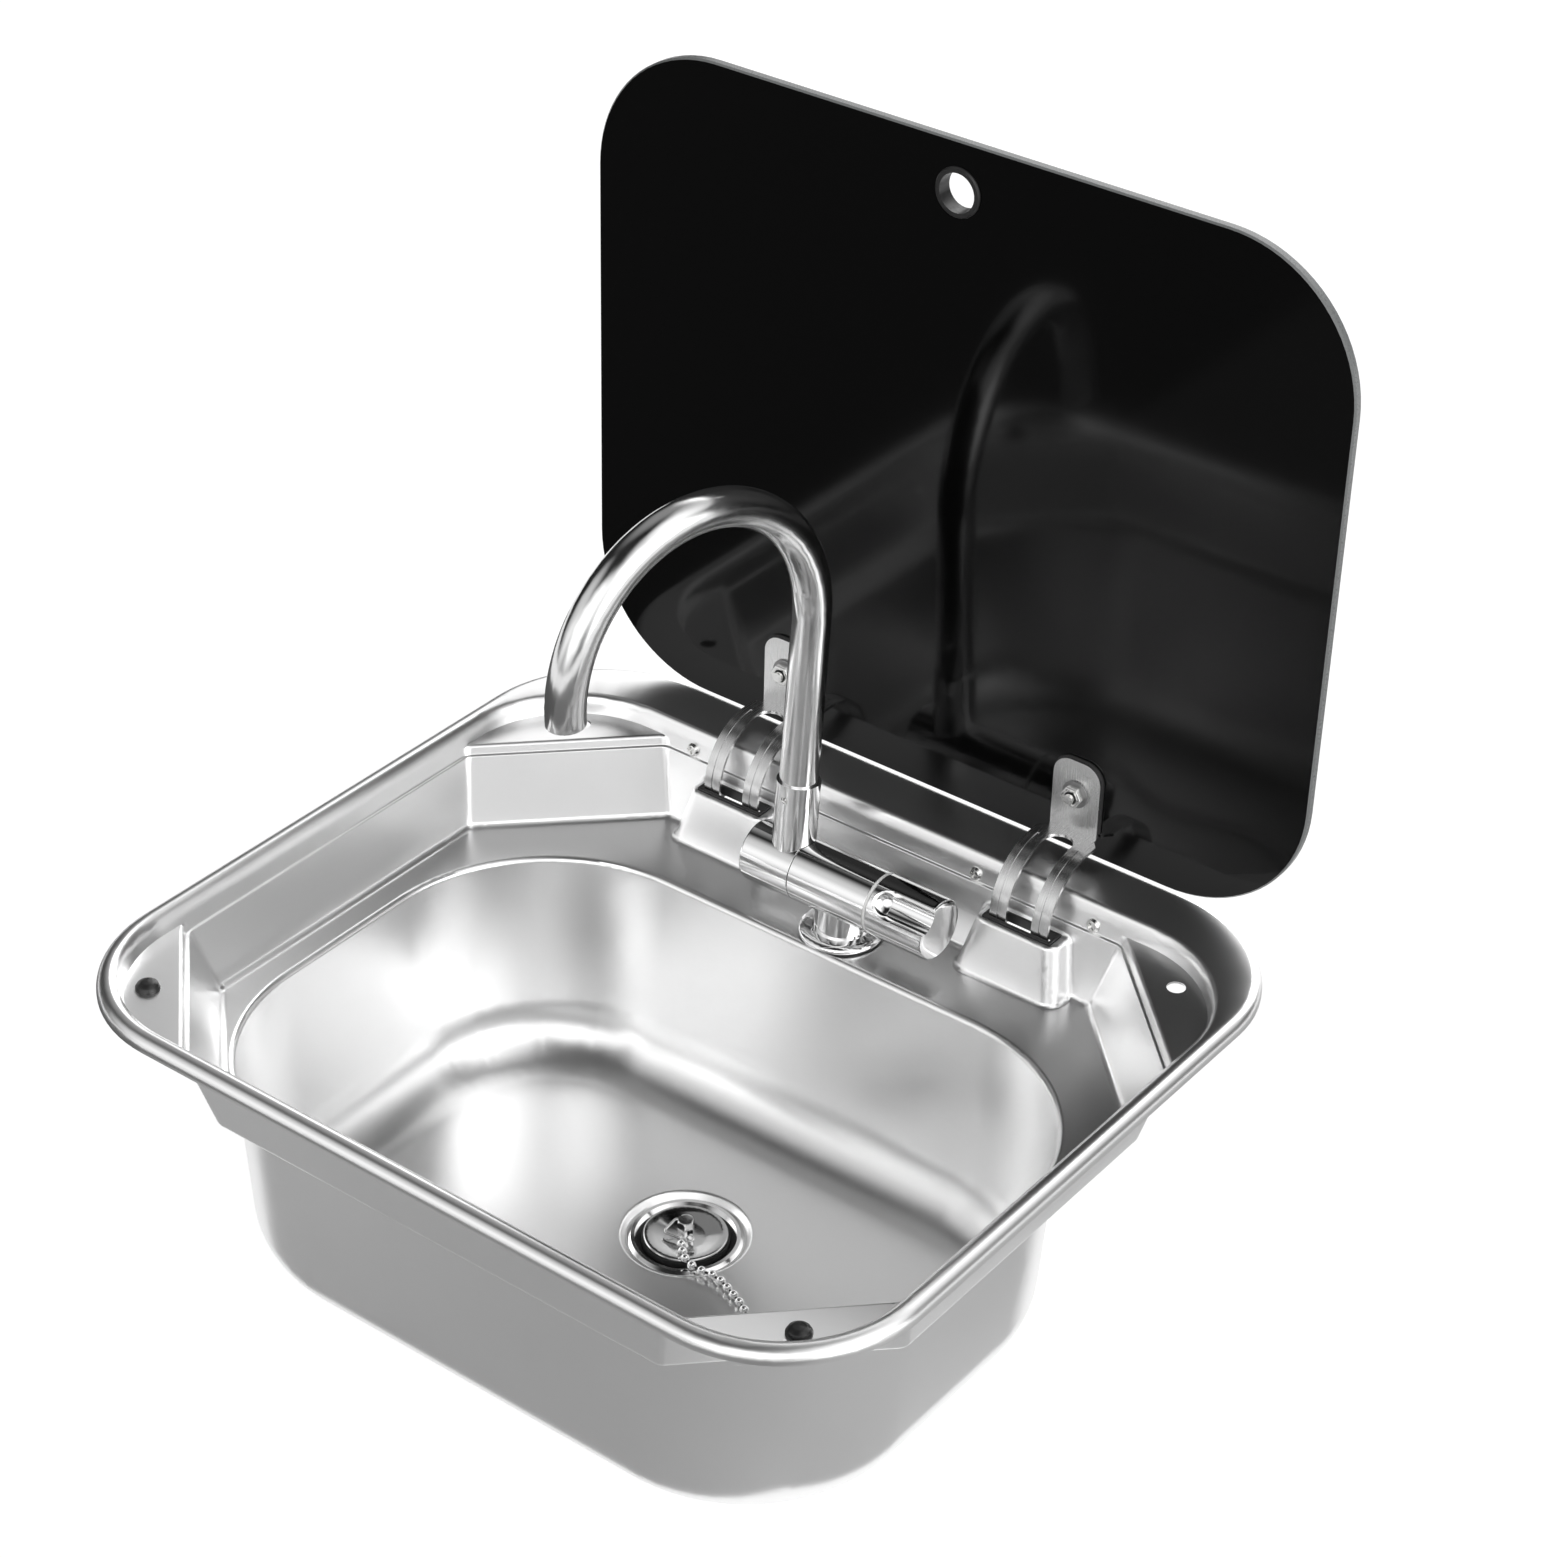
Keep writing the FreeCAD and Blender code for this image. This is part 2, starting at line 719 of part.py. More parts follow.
def make_waste():
    """Flange with its strainer, seal, back nut and hose tail under the bowl."""
    seat = V(0, drain_y, recess_z)
    seat_foot = waste_seat_radius - waste_seat_taper
    flange = turned([
        (waste_flange_radius, 0),
        (waste_flange_radius, waste_flange_height / 3),
        (waste_flange_radius - waste_flange_height, waste_flange_height),
        (waste_lip_radius, waste_flange_height),
        (waste_seat_radius, waste_seat_top),
        (seat_foot, -waste_seat_depth),
        (waste_bore_radius, -waste_seat_depth - sheet),
        (waste_bore_radius, -waste_thread_length),
        (waste_thread_radius, -waste_thread_length),
        (waste_thread_radius, 0),
    ], seat)
    cross_reach = waste_bore_radius + (waste_thread_radius - waste_bore_radius) / 2
    for turn in (0, 90):
        bar = box_between(
            V(-cross_reach, -strainer_bar / 2, -strainer_drop - strainer_bar),
            V(cross_reach, strainer_bar / 2, -strainer_drop),
        )
        bar.rotate(V(0, 0, 0), Z_AXIS, turn)
        bar.translate(seat)
        flange = flange.fuse(bar)
    export("waste_flange", flange)

    def ring(name, outer, top, bottom, grip=0):
        hole = waste_thread_radius + running_clearance
        solid = pipe(outer, hole, seat + Z_AXIS * bottom, seat + Z_AXIS * top)
        for place in range(waste_nut_grip_count if grip else 0):
            notch = rod(grip, V(outer + grip / 2, 0, bottom), V(outer + grip / 2, 0, top))
            notch.rotate(V(0, 0, 0), Z_AXIS, 360 * place / waste_nut_grip_count)
            notch.translate(seat)
            solid = solid.cut(notch)
        export(name, solid)

    seal_foot = -sheet - waste_seal_thickness
    nut_foot = seal_foot - waste_nut_height
    ring("waste_seal", waste_seal_radius, -sheet, seal_foot)
    ring("waste_nut", waste_nut_radius, seal_foot, nut_foot, strainer_bar)
    cup_inner = waste_thread_radius + running_clearance
    cup_outer = cup_inner + waste_tail_wall
    cup_foot = -waste_thread_length - seat_clearance
    taper_foot = cup_foot - waste_tail_taper
    tail_foot = taper_foot - waste_tail_length
    bore = waste_tail_radius - waste_tail_wall
    tail = turned([
        (cup_outer, nut_foot),
        (cup_outer, cup_foot),
        (waste_tail_radius, taper_foot),
        (waste_tail_radius, tail_foot),
        (bore, tail_foot),
        (bore, taper_foot),
        (waste_bore_radius, cup_foot),
        (cup_inner, cup_foot),
        (cup_inner, nut_foot),
    ], seat)
    export("waste_tail", tail)


def stopper_point(height):
    """Point of the stopper's axis at a height over the waste's seat on the recess."""
    return V(0, drain_y, recess_z + height)


def make_stopper():
    """Dished steel cap on a rubber plug, drawn together by the hexagonal chain post and its nut."""
    lift = stopper_cap_lift
    centre = lift - stopper_dish
    seat_foot = waste_seat_radius - waste_seat_taper
    plug_radius = waste_seat_radius - seat_clearance
    plug_foot = seat_clearance - waste_seat_depth
    hole = stopper_screw_radius + running_clearance
    plug = turned([
        (hole, centre),
        (stopper_dish_flat_radius, centre),
        (stopper_dish_rim_radius, lift),
        (plug_radius, lift),
        (plug_radius, waste_seat_top),
        (seat_foot - seat_clearance, plug_foot),
        (hole, plug_foot),
    ], stopper_point(0))
    export("stopper_plug", plug)
    thick = stopper_cap_thickness
    cap = turned([
        (hole, centre),
        (stopper_dish_flat_radius, centre),
        (stopper_dish_rim_radius, lift),
        (stopper_radius, lift),
        (stopper_radius, lift + thick / 2),
        (stopper_radius - thick / 2, lift + thick),
        (stopper_dish_rim_radius - thick / 2, lift + thick),
        (stopper_dish_flat_radius - thick / 2, centre + thick),
        (hole, centre + thick),
    ], stopper_point(0))
    export("stopper_cap", cap)
    post_foot = centre + thick
    post_top = post_foot + stopper_post_height
    nut_foot = plug_foot - stopper_nut_height
    post = hexagon(stopper_post_flats, stopper_point(post_foot), stopper_point(post_top))
    crown = Part.makeCone(
        stopper_post_flats, stopper_post_flats / 2, stopper_post_height, stopper_point(post_foot))
    post = post.common(crown.fuse(Part.makeCylinder(
        stopper_post_flats, stopper_post_hole_height, stopper_point(post_foot))))
    post = post.fuse(rod(stopper_screw_radius, stopper_point(nut_foot), stopper_point(post_foot)))
    middle = stopper_point(post_foot + stopper_post_hole_height)
    heading = math.radians(ring_heading)
    across = V(math.cos(heading), math.sin(heading), 0) * stopper_post_flats
    post = post.cut(rod(stopper_post_hole_radius, middle - across, middle + across))
    export("stopper_post", post)
    nut = hexagon(stopper_post_flats, stopper_point(nut_foot), stopper_point(plug_foot))
    nut = nut.cut(rod(hole, stopper_point(nut_foot - overrun), stopper_point(plug_foot + overrun)))
    export("stopper_nut", nut)


def rounded_path(points, radii, closed=False):
    """Wire of straight runs joined by tangent arcs at the inner points."""
    count = len(points)
    edges = []
    start = None if closed else points[0]
    first = None
    corners = range(count) if closed else range(1, count - 1)
    for place in corners:
        before, corner, after = points[place - 1], points[place], points[(place + 1) % count]
        coming = (corner - before).normalize()
        going = (after - corner).normalize()
        half_turn = coming.getAngle(going) / 2
        reach = radii[place] * math.tan(half_turn)
        enter = corner - coming * reach
        leave = corner + going * reach
        inward = (going - coming).normalize()
        middle = corner + inward * (radii[place] / math.cos(half_turn) - radii[place])
        if start is not None:
            edges.append(Part.LineSegment(start, enter).toShape())
        else:
            first = enter
        edges.append(Part.Arc(enter, middle, leave).toShape())
        start = leave
    end = first if closed else points[-1]
    edges.append(Part.LineSegment(start, end).toShape())
    return Part.Wire(edges)


def swept(path, radius, start, along):
    """Round wire or tube swept along a path from its first point."""
    circle = Part.Wire([Part.Circle(start, along, radius).toShape()])
    return path.makePipeShell([circle], True, False)


def make_chain_ring():
    """Long triangular wire ring through the post, and the small eye that links it to the chain."""
    heading = math.radians(ring_heading)
    slope = math.radians(ring_slope)
    roll = math.radians(ring_roll)
    along = V(math.cos(heading) * math.cos(slope), math.sin(heading) * math.cos(slope), -math.sin(slope))
    level = V(math.sin(heading), -math.cos(heading), 0)
    upward = level.cross(along)
    sideways = level * math.cos(roll) - upward * math.sin(roll)
    middle = stopper_point(stopper_cap_lift - stopper_dish + stopper_cap_thickness + stopper_post_hole_height)
    base = middle - along * (ring_long_side * ring_post_share)
    tip = base + along * ring_long_side
    lean_in = ring_short_side / (2 * ring_long_side)
    third = base + (along * lean_in + sideways * math.sqrt(1 - lean_in ** 2)) * ring_short_side
    corners = [base, third, tip]
    path = rounded_path(corners, [ring_corner_radius] * len(corners), True)
    first = path.Edges[0]
    start = first.valueAt(first.FirstParameter)
    ring = swept(path, ring_wire_radius, start, first.tangentAt(first.FirstParameter))
    export("chain_ring", ring)
    points = chain_points()
    forward = (points[1] - points[0]).normalize()
    centre = points[0] - forward * (eye_radius + eye_wire_radius + running_clearance)
    link = Part.makeTorus(eye_radius, eye_wire_radius, centre, forward.cross(Z_AXIS).normalize())
    export("chain_eye", link)
    print("eye to ring", round(link.distToShape(ring)[0], 2))


def chain_points():
    """The chain's route in the part's frame."""
    return [V(x, y + drain_y, floor_z + height) for x, y, height in chain_route]


def make_chain():
    """The ball chain's run as a round tube, with the loose ring at its far end."""
    points = chain_points()
    radii = [0] * len(points)
    for place in range(1, len(points) - 1):
        coming = points[place] - points[place - 1]
        going = points[place + 1] - points[place]
        shorter = min(coming.Length, going.Length)
        radii[place] = chain_bend_share * shorter / math.tan(coming.getAngle(going) / 2)
    print("chain bend radii", [round(radius, 1) for radius in radii[1:-1]])
    path = rounded_path(points, radii)
    tube = swept(path, chain_radius, points[0], points[1] - points[0])
    volume_share = tube.Volume / (math.pi * chain_radius ** 2 * path.Length)
    print("chain length", round(path.Length, 1), "volume ratio", round(volume_share, 4))
    export("stopper_chain", tube)
    last = points[-1]
    ahead = (last - points[-2]).normalize()
    reach = chain_end_ring_radius + ring_wire_radius + running_clearance
    lay = V(last.x, last.y, floor_z + ring_wire_radius + seat_clearance)
    centre = lay + V(ahead.x, ahead.y, 0) * reach
    export("chain_end_ring", Part.makeTorus(chain_end_ring_radius, ring_wire_radius, centre))


# Tap

def tap_point(x, height=0):
    """Point of the tap's level axis, or straight above it."""
    return V(x, tap_y, tap_z + height)


def barrel(left, right, round_left=0, round_right=0):
    """Level round barrel of the tap with rounded rims."""
    profile = [(0, left), (barrel_radius - round_left, left)]
    left_cut = round_left * (1 - 1 / root_two)
    right_cut = round_right * (1 - 1 / root_two)
    if round_left:
        profile.append((barrel_radius - left_cut, left + left_cut))
    profile.append((barrel_radius, left + round_left))
    profile.append((barrel_radius, right - round_right))
    if round_right:
        profile.append((barrel_radius - right_cut, right - right_cut))
    profile += [(barrel_radius - round_right, right), (0, right)]
    return turned(profile, tap_point(0), X_AXIS)


def make_tap_body():
    """Barrel, neck, threaded shank and pivot spigot cast as one."""
    seat = deck_z + deck_seal_thickness + escutcheon_height
    neck = Part.makeCone(neck_base_radius, neck_top_radius, tap_z - seat, V(0, tap_y, seat))
    shank_foot = V(0, tap_y, deck_z - shank_length)
    body = barrel(-barrel_left, barrel_right, barrel_joint_round, barrel_joint_round)
    body = body.fuse([neck, rod(shank_radius, shank_foot, V(0, tap_y, seat))])
    spigot_end = tap_point(-barrel_left - pivot_spigot_length)
    body = body.fuse(rod(pivot_spigot_radius, spigot_end, tap_point(0)))
    body = body.cut(rod(water_way_radius, spigot_end - X_AXIS * overrun, tap_point(0)))
    room_foot = tap_point(barrel_right - cartridge_length)
    body = body.cut(rod(cartridge_radius + running_clearance, room_foot, tap_point(barrel_right + overrun)))
    for side in (-1, 1):
        mouth = shank_foot + X_AXIS * (side * inlet_spacing / 2)
        body = body.cut(rod(inlet_radius, mouth - Z_AXIS * overrun, mouth + Z_AXIS * inlet_depth))
    for ring_x in o_ring_places():
        groove = pipe(
            pivot_spigot_radius + overrun,
            pivot_spigot_radius - o_ring_section + running_clearance,
            tap_point(ring_x - o_ring_section / 2),
            tap_point(ring_x + o_ring_section / 2),
        )
        body = body.cut(groove)
    export("tap_body", body)


def o_ring_places():
    """Two ring grooves along the pivot spigot, either side of its middle."""
    middle = -barrel_left - pivot_spigot_length / 2
    return (middle - pivot_spigot_length / 4, middle + pivot_spigot_length / 4)


def make_tap_seats():
    """Pieces stacked on the tap's shank over and under the deck."""
    base = V(0, tap_y, deck_z)
    hole = shank_radius + running_clearance

    def ring(name, outer, low, high):
        export(name, pipe(outer, hole, base + Z_AXIS * low, base + Z_AXIS * high))

    ring("tap_deck_seal", deck_seal_radius, 0, deck_seal_thickness)
    inward, upward = escutcheon_shoulder_shares
    cover = turned([
        (hole, 0),
        (escutcheon_radius, 0),
        (escutcheon_radius, escutcheon_height * escutcheon_edge_share),
        (escutcheon_radius - escutcheon_height * inward, escutcheon_height * upward),
        (escutcheon_radius - escutcheon_height, escutcheon_height),
        (hole, escutcheon_height),
    ], base + Z_AXIS * deck_seal_thickness)
    export("tap_escutcheon", cover)
    washer_foot = -sheet - tap_washer_thickness
    ring("tap_shank_washer", tap_washer_radius, washer_foot, -sheet)
    nut_foot = base + Z_AXIS * (washer_foot - tap_nut_height)
    nut_top = base + Z_AXIS * washer_foot
    nut = hexagon(tap_nut_radius * 2 * math.cos(math.radians(30)), nut_foot, nut_top)
    export("tap_shank_nut", nut.cut(rod(hole, nut_foot - Z_AXIS * overrun, nut_top + Z_AXIS * overrun)))
    rings = []
    section = o_ring_section / 2 - running_clearance
    for ring_x in o_ring_places():
        middle_radius = pivot_spigot_radius - section
        rings.append(Part.makeTorus(middle_radius, section, tap_point(ring_x), X_AXIS))
    export("pivot_o_rings", Part.makeCompound(rings))


def make_cartridge():
    """Ceramic valve cartridge in the barrel, its turning stem and the white washer at the handle."""
    foot = barrel_right - cartridge_length
    shell = rod(cartridge_radius, tap_point(foot + running_clearance), tap_point(barrel_right))
    stem_foot = foot + cartridge_length / 3
    bore = stem_radius + running_clearance
    shell = shell.cut(rod(bore, tap_point(stem_foot - running_clearance), tap_point(barrel_right + overrun)))
    export("valve_cartridge", shell)
    washer_end = barrel_right + white_washer_thickness
    ring = pipe(white_washer_radius, stem_radius * 2, tap_point(barrel_right), tap_point(washer_end))
    export("handle_washer", ring)
    stem_end = washer_end + seat_clearance + stem_length
    export("valve_stem", rod(stem_radius, tap_point(stem_foot), tap_point(stem_end)))


def make_handle():
    """Turning handle with a thumb scoop that runs out at its end, and the grub screw that holds it."""
    left = barrel_right + white_washer_thickness + seat_clearance
    right = left + handle_length
    handle = barrel(left, right, barrel_joint_round, handle_end_round)
    bore = stem_radius + running_clearance
    bore_end = tap_point(left + stem_length + running_clearance)
    handle = handle.cut(rod(bore, tap_point(left - overrun), bore_end))
    turn = math.radians(scoop_turn)
    reach = barrel_radius + scoop_radius - scoop_depth
    lift = V(0, -math.cos(turn), math.sin(turn)) * reach
    start = tap_point(left + scoop_from_washer + scoop_radius) + lift
    end = tap_point(right + scoop_radius) + lift
    scoop = rod(scoop_radius, start, end).fuse(Part.makeSphere(scoop_radius, start))
    handle = handle.cut(scoop)
    screw_x = left + grub_screw_from_washer
    screw_top = tap_point(screw_x, -stem_radius - running_clearance)
    screw_foot = tap_point(screw_x, -stem_radius - running_clearance - grub_screw_length)
    hole = grub_screw_radius + running_clearance
    handle = handle.cut(rod(hole, tap_point(screw_x, -barrel_radius - overrun), tap_point(screw_x)))
    export("tap_handle", handle)
    export("handle_grub_screw", rod(grub_screw_radius, screw_foot, screw_top))


def lean(shape):
    """Tip a shape back with the folding knuckle."""
    turned_shape = shape.copy()
    turned_shape.rotate(tap_point(0), X_AXIS, -spout_lean)
    return turned_shape


def make_knuckle():
    """Folding knuckle that turns on the barrel's spigot and carries the spout's collar."""
    right = -barrel_left - seat_clearance
    left = right - knuckle_length
    knuckle = barrel(left, right, barrel_edge_round, barrel_joint_round)
    collar = rod(collar_radius, tap_point(spout_x), tap_point(spout_x, collar_height))
    knuckle = knuckle.fuse(collar)
    bore_end = -barrel_left - pivot_spigot_length - seat_clearance
    bore = pivot_spigot_radius + running_clearance
    knuckle = knuckle.cut(rod(bore, tap_point(bore_end), tap_point(right + overrun)))
    cap_radius = barrel_radius - barrel_edge_round * 2
    cap_seat = tap_point(left + knuckle_cap_thickness)
    knuckle = knuckle.cut(rod(cap_radius + running_clearance, tap_point(left - overrun), cap_seat))
    socket_foot = collar_height - tube_insertion
    socket = tube_radius + running_clearance
    socket_top = tap_point(spout_x, collar_height + overrun)
    knuckle = knuckle.cut(rod(socket, tap_point(spout_x, socket_foot), socket_top))
    knuckle = knuckle.cut(rod(water_way_radius, tap_point(spout_x), tap_point(spout_x, collar_height)))
    beside = rod(barrel_radius + seat_clearance, tap_point(right), tap_point(barrel_right))
    knuckle = knuckle.cut(beside)
    hole = set_screw_radius + running_clearance
    start = tap_point(spout_x, set_screw_height)
    knuckle = knuckle.cut(rod(hole, start, start - Y_AXIS * (collar_radius + overrun)))
    export("spout_knuckle", lean(knuckle))
    outer = start - Y_AXIS * (collar_radius - set_screw_sink)
    inner = start - Y_AXIS * (tube_radius + running_clearance)
    export("spout_set_screw", lean(rod(set_screw_radius, inner, outer)))
    cap = rod(cap_radius, tap_point(left + sheet / 2), tap_point(left + knuckle_cap_thickness))
    export("knuckle_cap", lean(cap))


def spout_path(start_height):
    """Middle line of the spout: a straight leg and a hook, in the plane X of the collar before it turns."""
    foot = tap_point(spout_x, start_height)
    shoulder = tap_point(spout_x, spout_leg)
    centre = shoulder - Y_AXIS * spout_bend_radius
    def on_bend(share):
        turn = math.radians(spout_bend * share)
        return centre + V(0, math.cos(turn), math.sin(turn)) * spout_bend_radius
    bend = Part.Arc(shoulder, on_bend(0.5), on_bend(1)).toShape()
    return Part.Wire([Part.LineSegment(foot, shoulder).toShape(), bend])


def place_spout(shape):
    """Turn a shape with the spout in its collar, then lean it with the knuckle."""
    placed = shape.copy()
    placed.rotate(tap_point(spout_x), Z_AXIS, -spout_swivel)
    return lean(placed)


def make_spout():
    """Bent spout tube and the flow straightener pressed into its mouth."""
    foot_height = collar_height - tube_insertion + seat_clearance
    path = spout_path(foot_height)
    foot = tap_point(spout_x, foot_height)
    outer = swept(path, tube_radius, foot, Z_AXIS)
    inner = swept(path, tube_radius - tube_wall, foot, Z_AXIS)
    export("spout_tube", place_spout(outer.cut(inner)))
    turn = math.radians(spout_bend)
    centre = tap_point(spout_x, spout_leg) - Y_AXIS * spout_bend_radius
    mouth = centre + V(0, math.cos(turn), math.sin(turn)) * spout_bend_radius
    up_tube = V(0, math.sin(turn), -math.cos(turn))
    radius = tube_radius - tube_wall - seat_clearance
    inner_end = mouth + up_tube * (straightener_length + overrun)
    disc = rod(radius, mouth + up_tube * overrun, inner_end)
    across = up_tube.cross(X_AXIS)
    for place in range(straightener_hole_count):
        hole_turn = math.radians(360 * place / straightener_hole_count)
        outward = X_AXIS * math.cos(hole_turn) + across * math.sin(hole_turn)
        offset = outward * (radius * straightener_ring_share)
        disc = disc.cut(rod(straightener_hole_radius, mouth + offset, inner_end + offset + up_tube))
    export("flow_straightener", place_spout(disc))


# Lid and hinges

def panel(half_x, low, high, radius, front, thickness):
    """Upright plate with round corners, its front face at a given Y."""
    wire = rounded_rectangle(half_x, low, high, radius, 0)
    plate = Part.Face(wire).extrude(V(0, 0, thickness))
    plate.rotate(V(0, 0, 0), X_AXIS, 90)
    plate.translate(V(0, front + thickness, 0))
    return plate


def bolt_point(middle_x, y):
    """Point on a lid bolt's axis."""
    return V(middle_x, y, bolt_z)


def make_lid_glass():
    """Toughened glass lid with ground edges, a finger hole and two bolt holes."""
    half_width = rim_width / 2 - lid_side_margin
    glass = panel(half_width, lid_bottom, lid_top, lid_corner_radius, lid_face_y, lid_thickness)
    rims = []
    for edge in glass.Edges:
        ends = [vertex.Point.y for vertex in edge.Vertexes]
        if abs(ends[0] - ends[-1]) < running_clearance:
            rims.append(edge)
    glass = glass.makeChamfer(lid_edge_round, rims)
    back = lid_face_y + lid_thickness
    hole_z = lid_top - finger_hole_below_top
    outer = finger_hole_radius + grommet_wall
    glass = glass.cut(rod(outer, V(0, lid_face_y - overrun, hole_z), V(0, back + overrun, hole_z)))
    for middle_x in hinge_sides.values():
        radius = lid_bolt_radius + bolt_hole_clearance
        start = bolt_point(middle_x, lid_face_y - overrun)
        glass = glass.cut(rod(radius, start, bolt_point(middle_x, back + overrun)))
    export("lid_glass", glass)
    grommet = turned([
        (finger_hole_radius, -grommet_flange_thickness),
        (grommet_flange_radius - grommet_flange_thickness / 2, -grommet_flange_thickness),
        (grommet_flange_radius, -grommet_flange_thickness / 2),
        (grommet_flange_radius, 0),
        (outer - running_clearance, 0),
        (outer - running_clearance, lid_thickness),
        (grommet_flange_radius, lid_thickness),
        (grommet_flange_radius, lid_thickness + grommet_flange_thickness / 2),
        (grommet_flange_radius - grommet_flange_thickness / 2, lid_thickness + grommet_flange_thickness),
        (finger_hole_radius, lid_thickness + grommet_flange_thickness),
    ], V(0, lid_face_y, hole_z), Y_AXIS)
    export("finger_grommet", grommet)


def tab_plate(middle_x, margin, front, thickness):
    """Plate of the arm's tab outline, from the bend to its round-cornered top."""
    foot = hinge_z + arm_radius + arm_bend_radius
    half = tab_width / 2 + margin
    radius = tab_corner_radius + margin
    low = foot - arm_radius
    high = foot + tab_height - arm_bend_radius + margin
    plate = panel(half, low, high, radius, front, thickness)
    below = box_between(
        V(-tab_width, front - overrun, low - overrun),
        V(tab_width, front + thickness + overrun, foot),
    )
    plate = plate.cut(below)
    plate.translate(X_AXIS * middle_x)
    return plate


def arm_strap(middle_x):
    """The strap's side profile carried across its full width."""
    top = hinge_z + arm_radius
    centre = V(0, hinge_y, hinge_z)

    def on_arc(radius, degrees):
        turn = math.radians(degrees)
        return centre + V(0, math.cos(turn), math.sin(turn)) * radius

    inner = arm_radius - arm_thickness
    tip = 180 + arm_tip_angle
    middle = (tip + 90) / 2
    front_of_tab = tab_face_y - arm_thickness
    tab_top = top + tab_height
    outline = [
        Part.Arc(on_arc(arm_radius, tip), on_arc(arm_radius, middle), on_arc(arm_radius, 90)).toShape(),
        Part.LineSegment(V(0, hinge_y, top), V(0, front_of_tab, top)).toShape(),
        Part.LineSegment(V(0, front_of_tab, top), V(0, front_of_tab, tab_top)).toShape(),
        Part.LineSegment(V(0, front_of_tab, tab_top), V(0, tab_face_y, tab_top)).toShape(),
        Part.LineSegment(V(0, tab_face_y, tab_top), V(0, tab_face_y, top - arm_thickness)).toShape(),
        Part.LineSegment(V(0, tab_face_y, top - arm_thickness), V(0, hinge_y, top - arm_thickness)).toShape(),
        Part.Arc(on_arc(inner, 90), on_arc(inner, middle), on_arc(inner, tip)).toShape(),
        Part.LineSegment(on_arc(inner, tip), on_arc(arm_radius, tip)).toShape(),
    ]
    strap = Part.Face(Part.Wire(outline)).extrude(X_AXIS * arm_width)
    strap.translate(V(middle_x - arm_width / 2, 0, 0))
    bend = []
    for edge in strap.Edges:
        along_x = len(edge.Vertexes) == 2 and abs(edge.Vertexes[0].X - edge.Vertexes[1].X) > arm_width / 2
        point = edge.Vertexes[0].Point
        if along_x and abs(point.y - tab_face_y) < running_clearance and point.z < top:
            bend.append(edge)
    return strap.makeFillet(arm_bend_radius, bend)


def leg_grooves(middle_x):
    """Shallow stiffening grooves pressed along the outer face of both legs."""
    grooves = []
    for side in (-1, 1):
        leg_x = middle_x + side * (arm_width + arm_slot_width) / 4
        start = V(leg_x - arm_groove_width / 2, hinge_y, hinge_z)
        end = start + X_AXIS * arm_groove_width
        ring = pipe(arm_radius + overrun, arm_radius - arm_groove_depth, start, end)
        rear_half = box_between(
            start + V(-overrun, 0, -arm_radius - overrun),
            end + V(overrun, arm_radius + overrun, arm_radius + overrun),
        )
        grooves.append(ring.cut(rear_half))
    return grooves


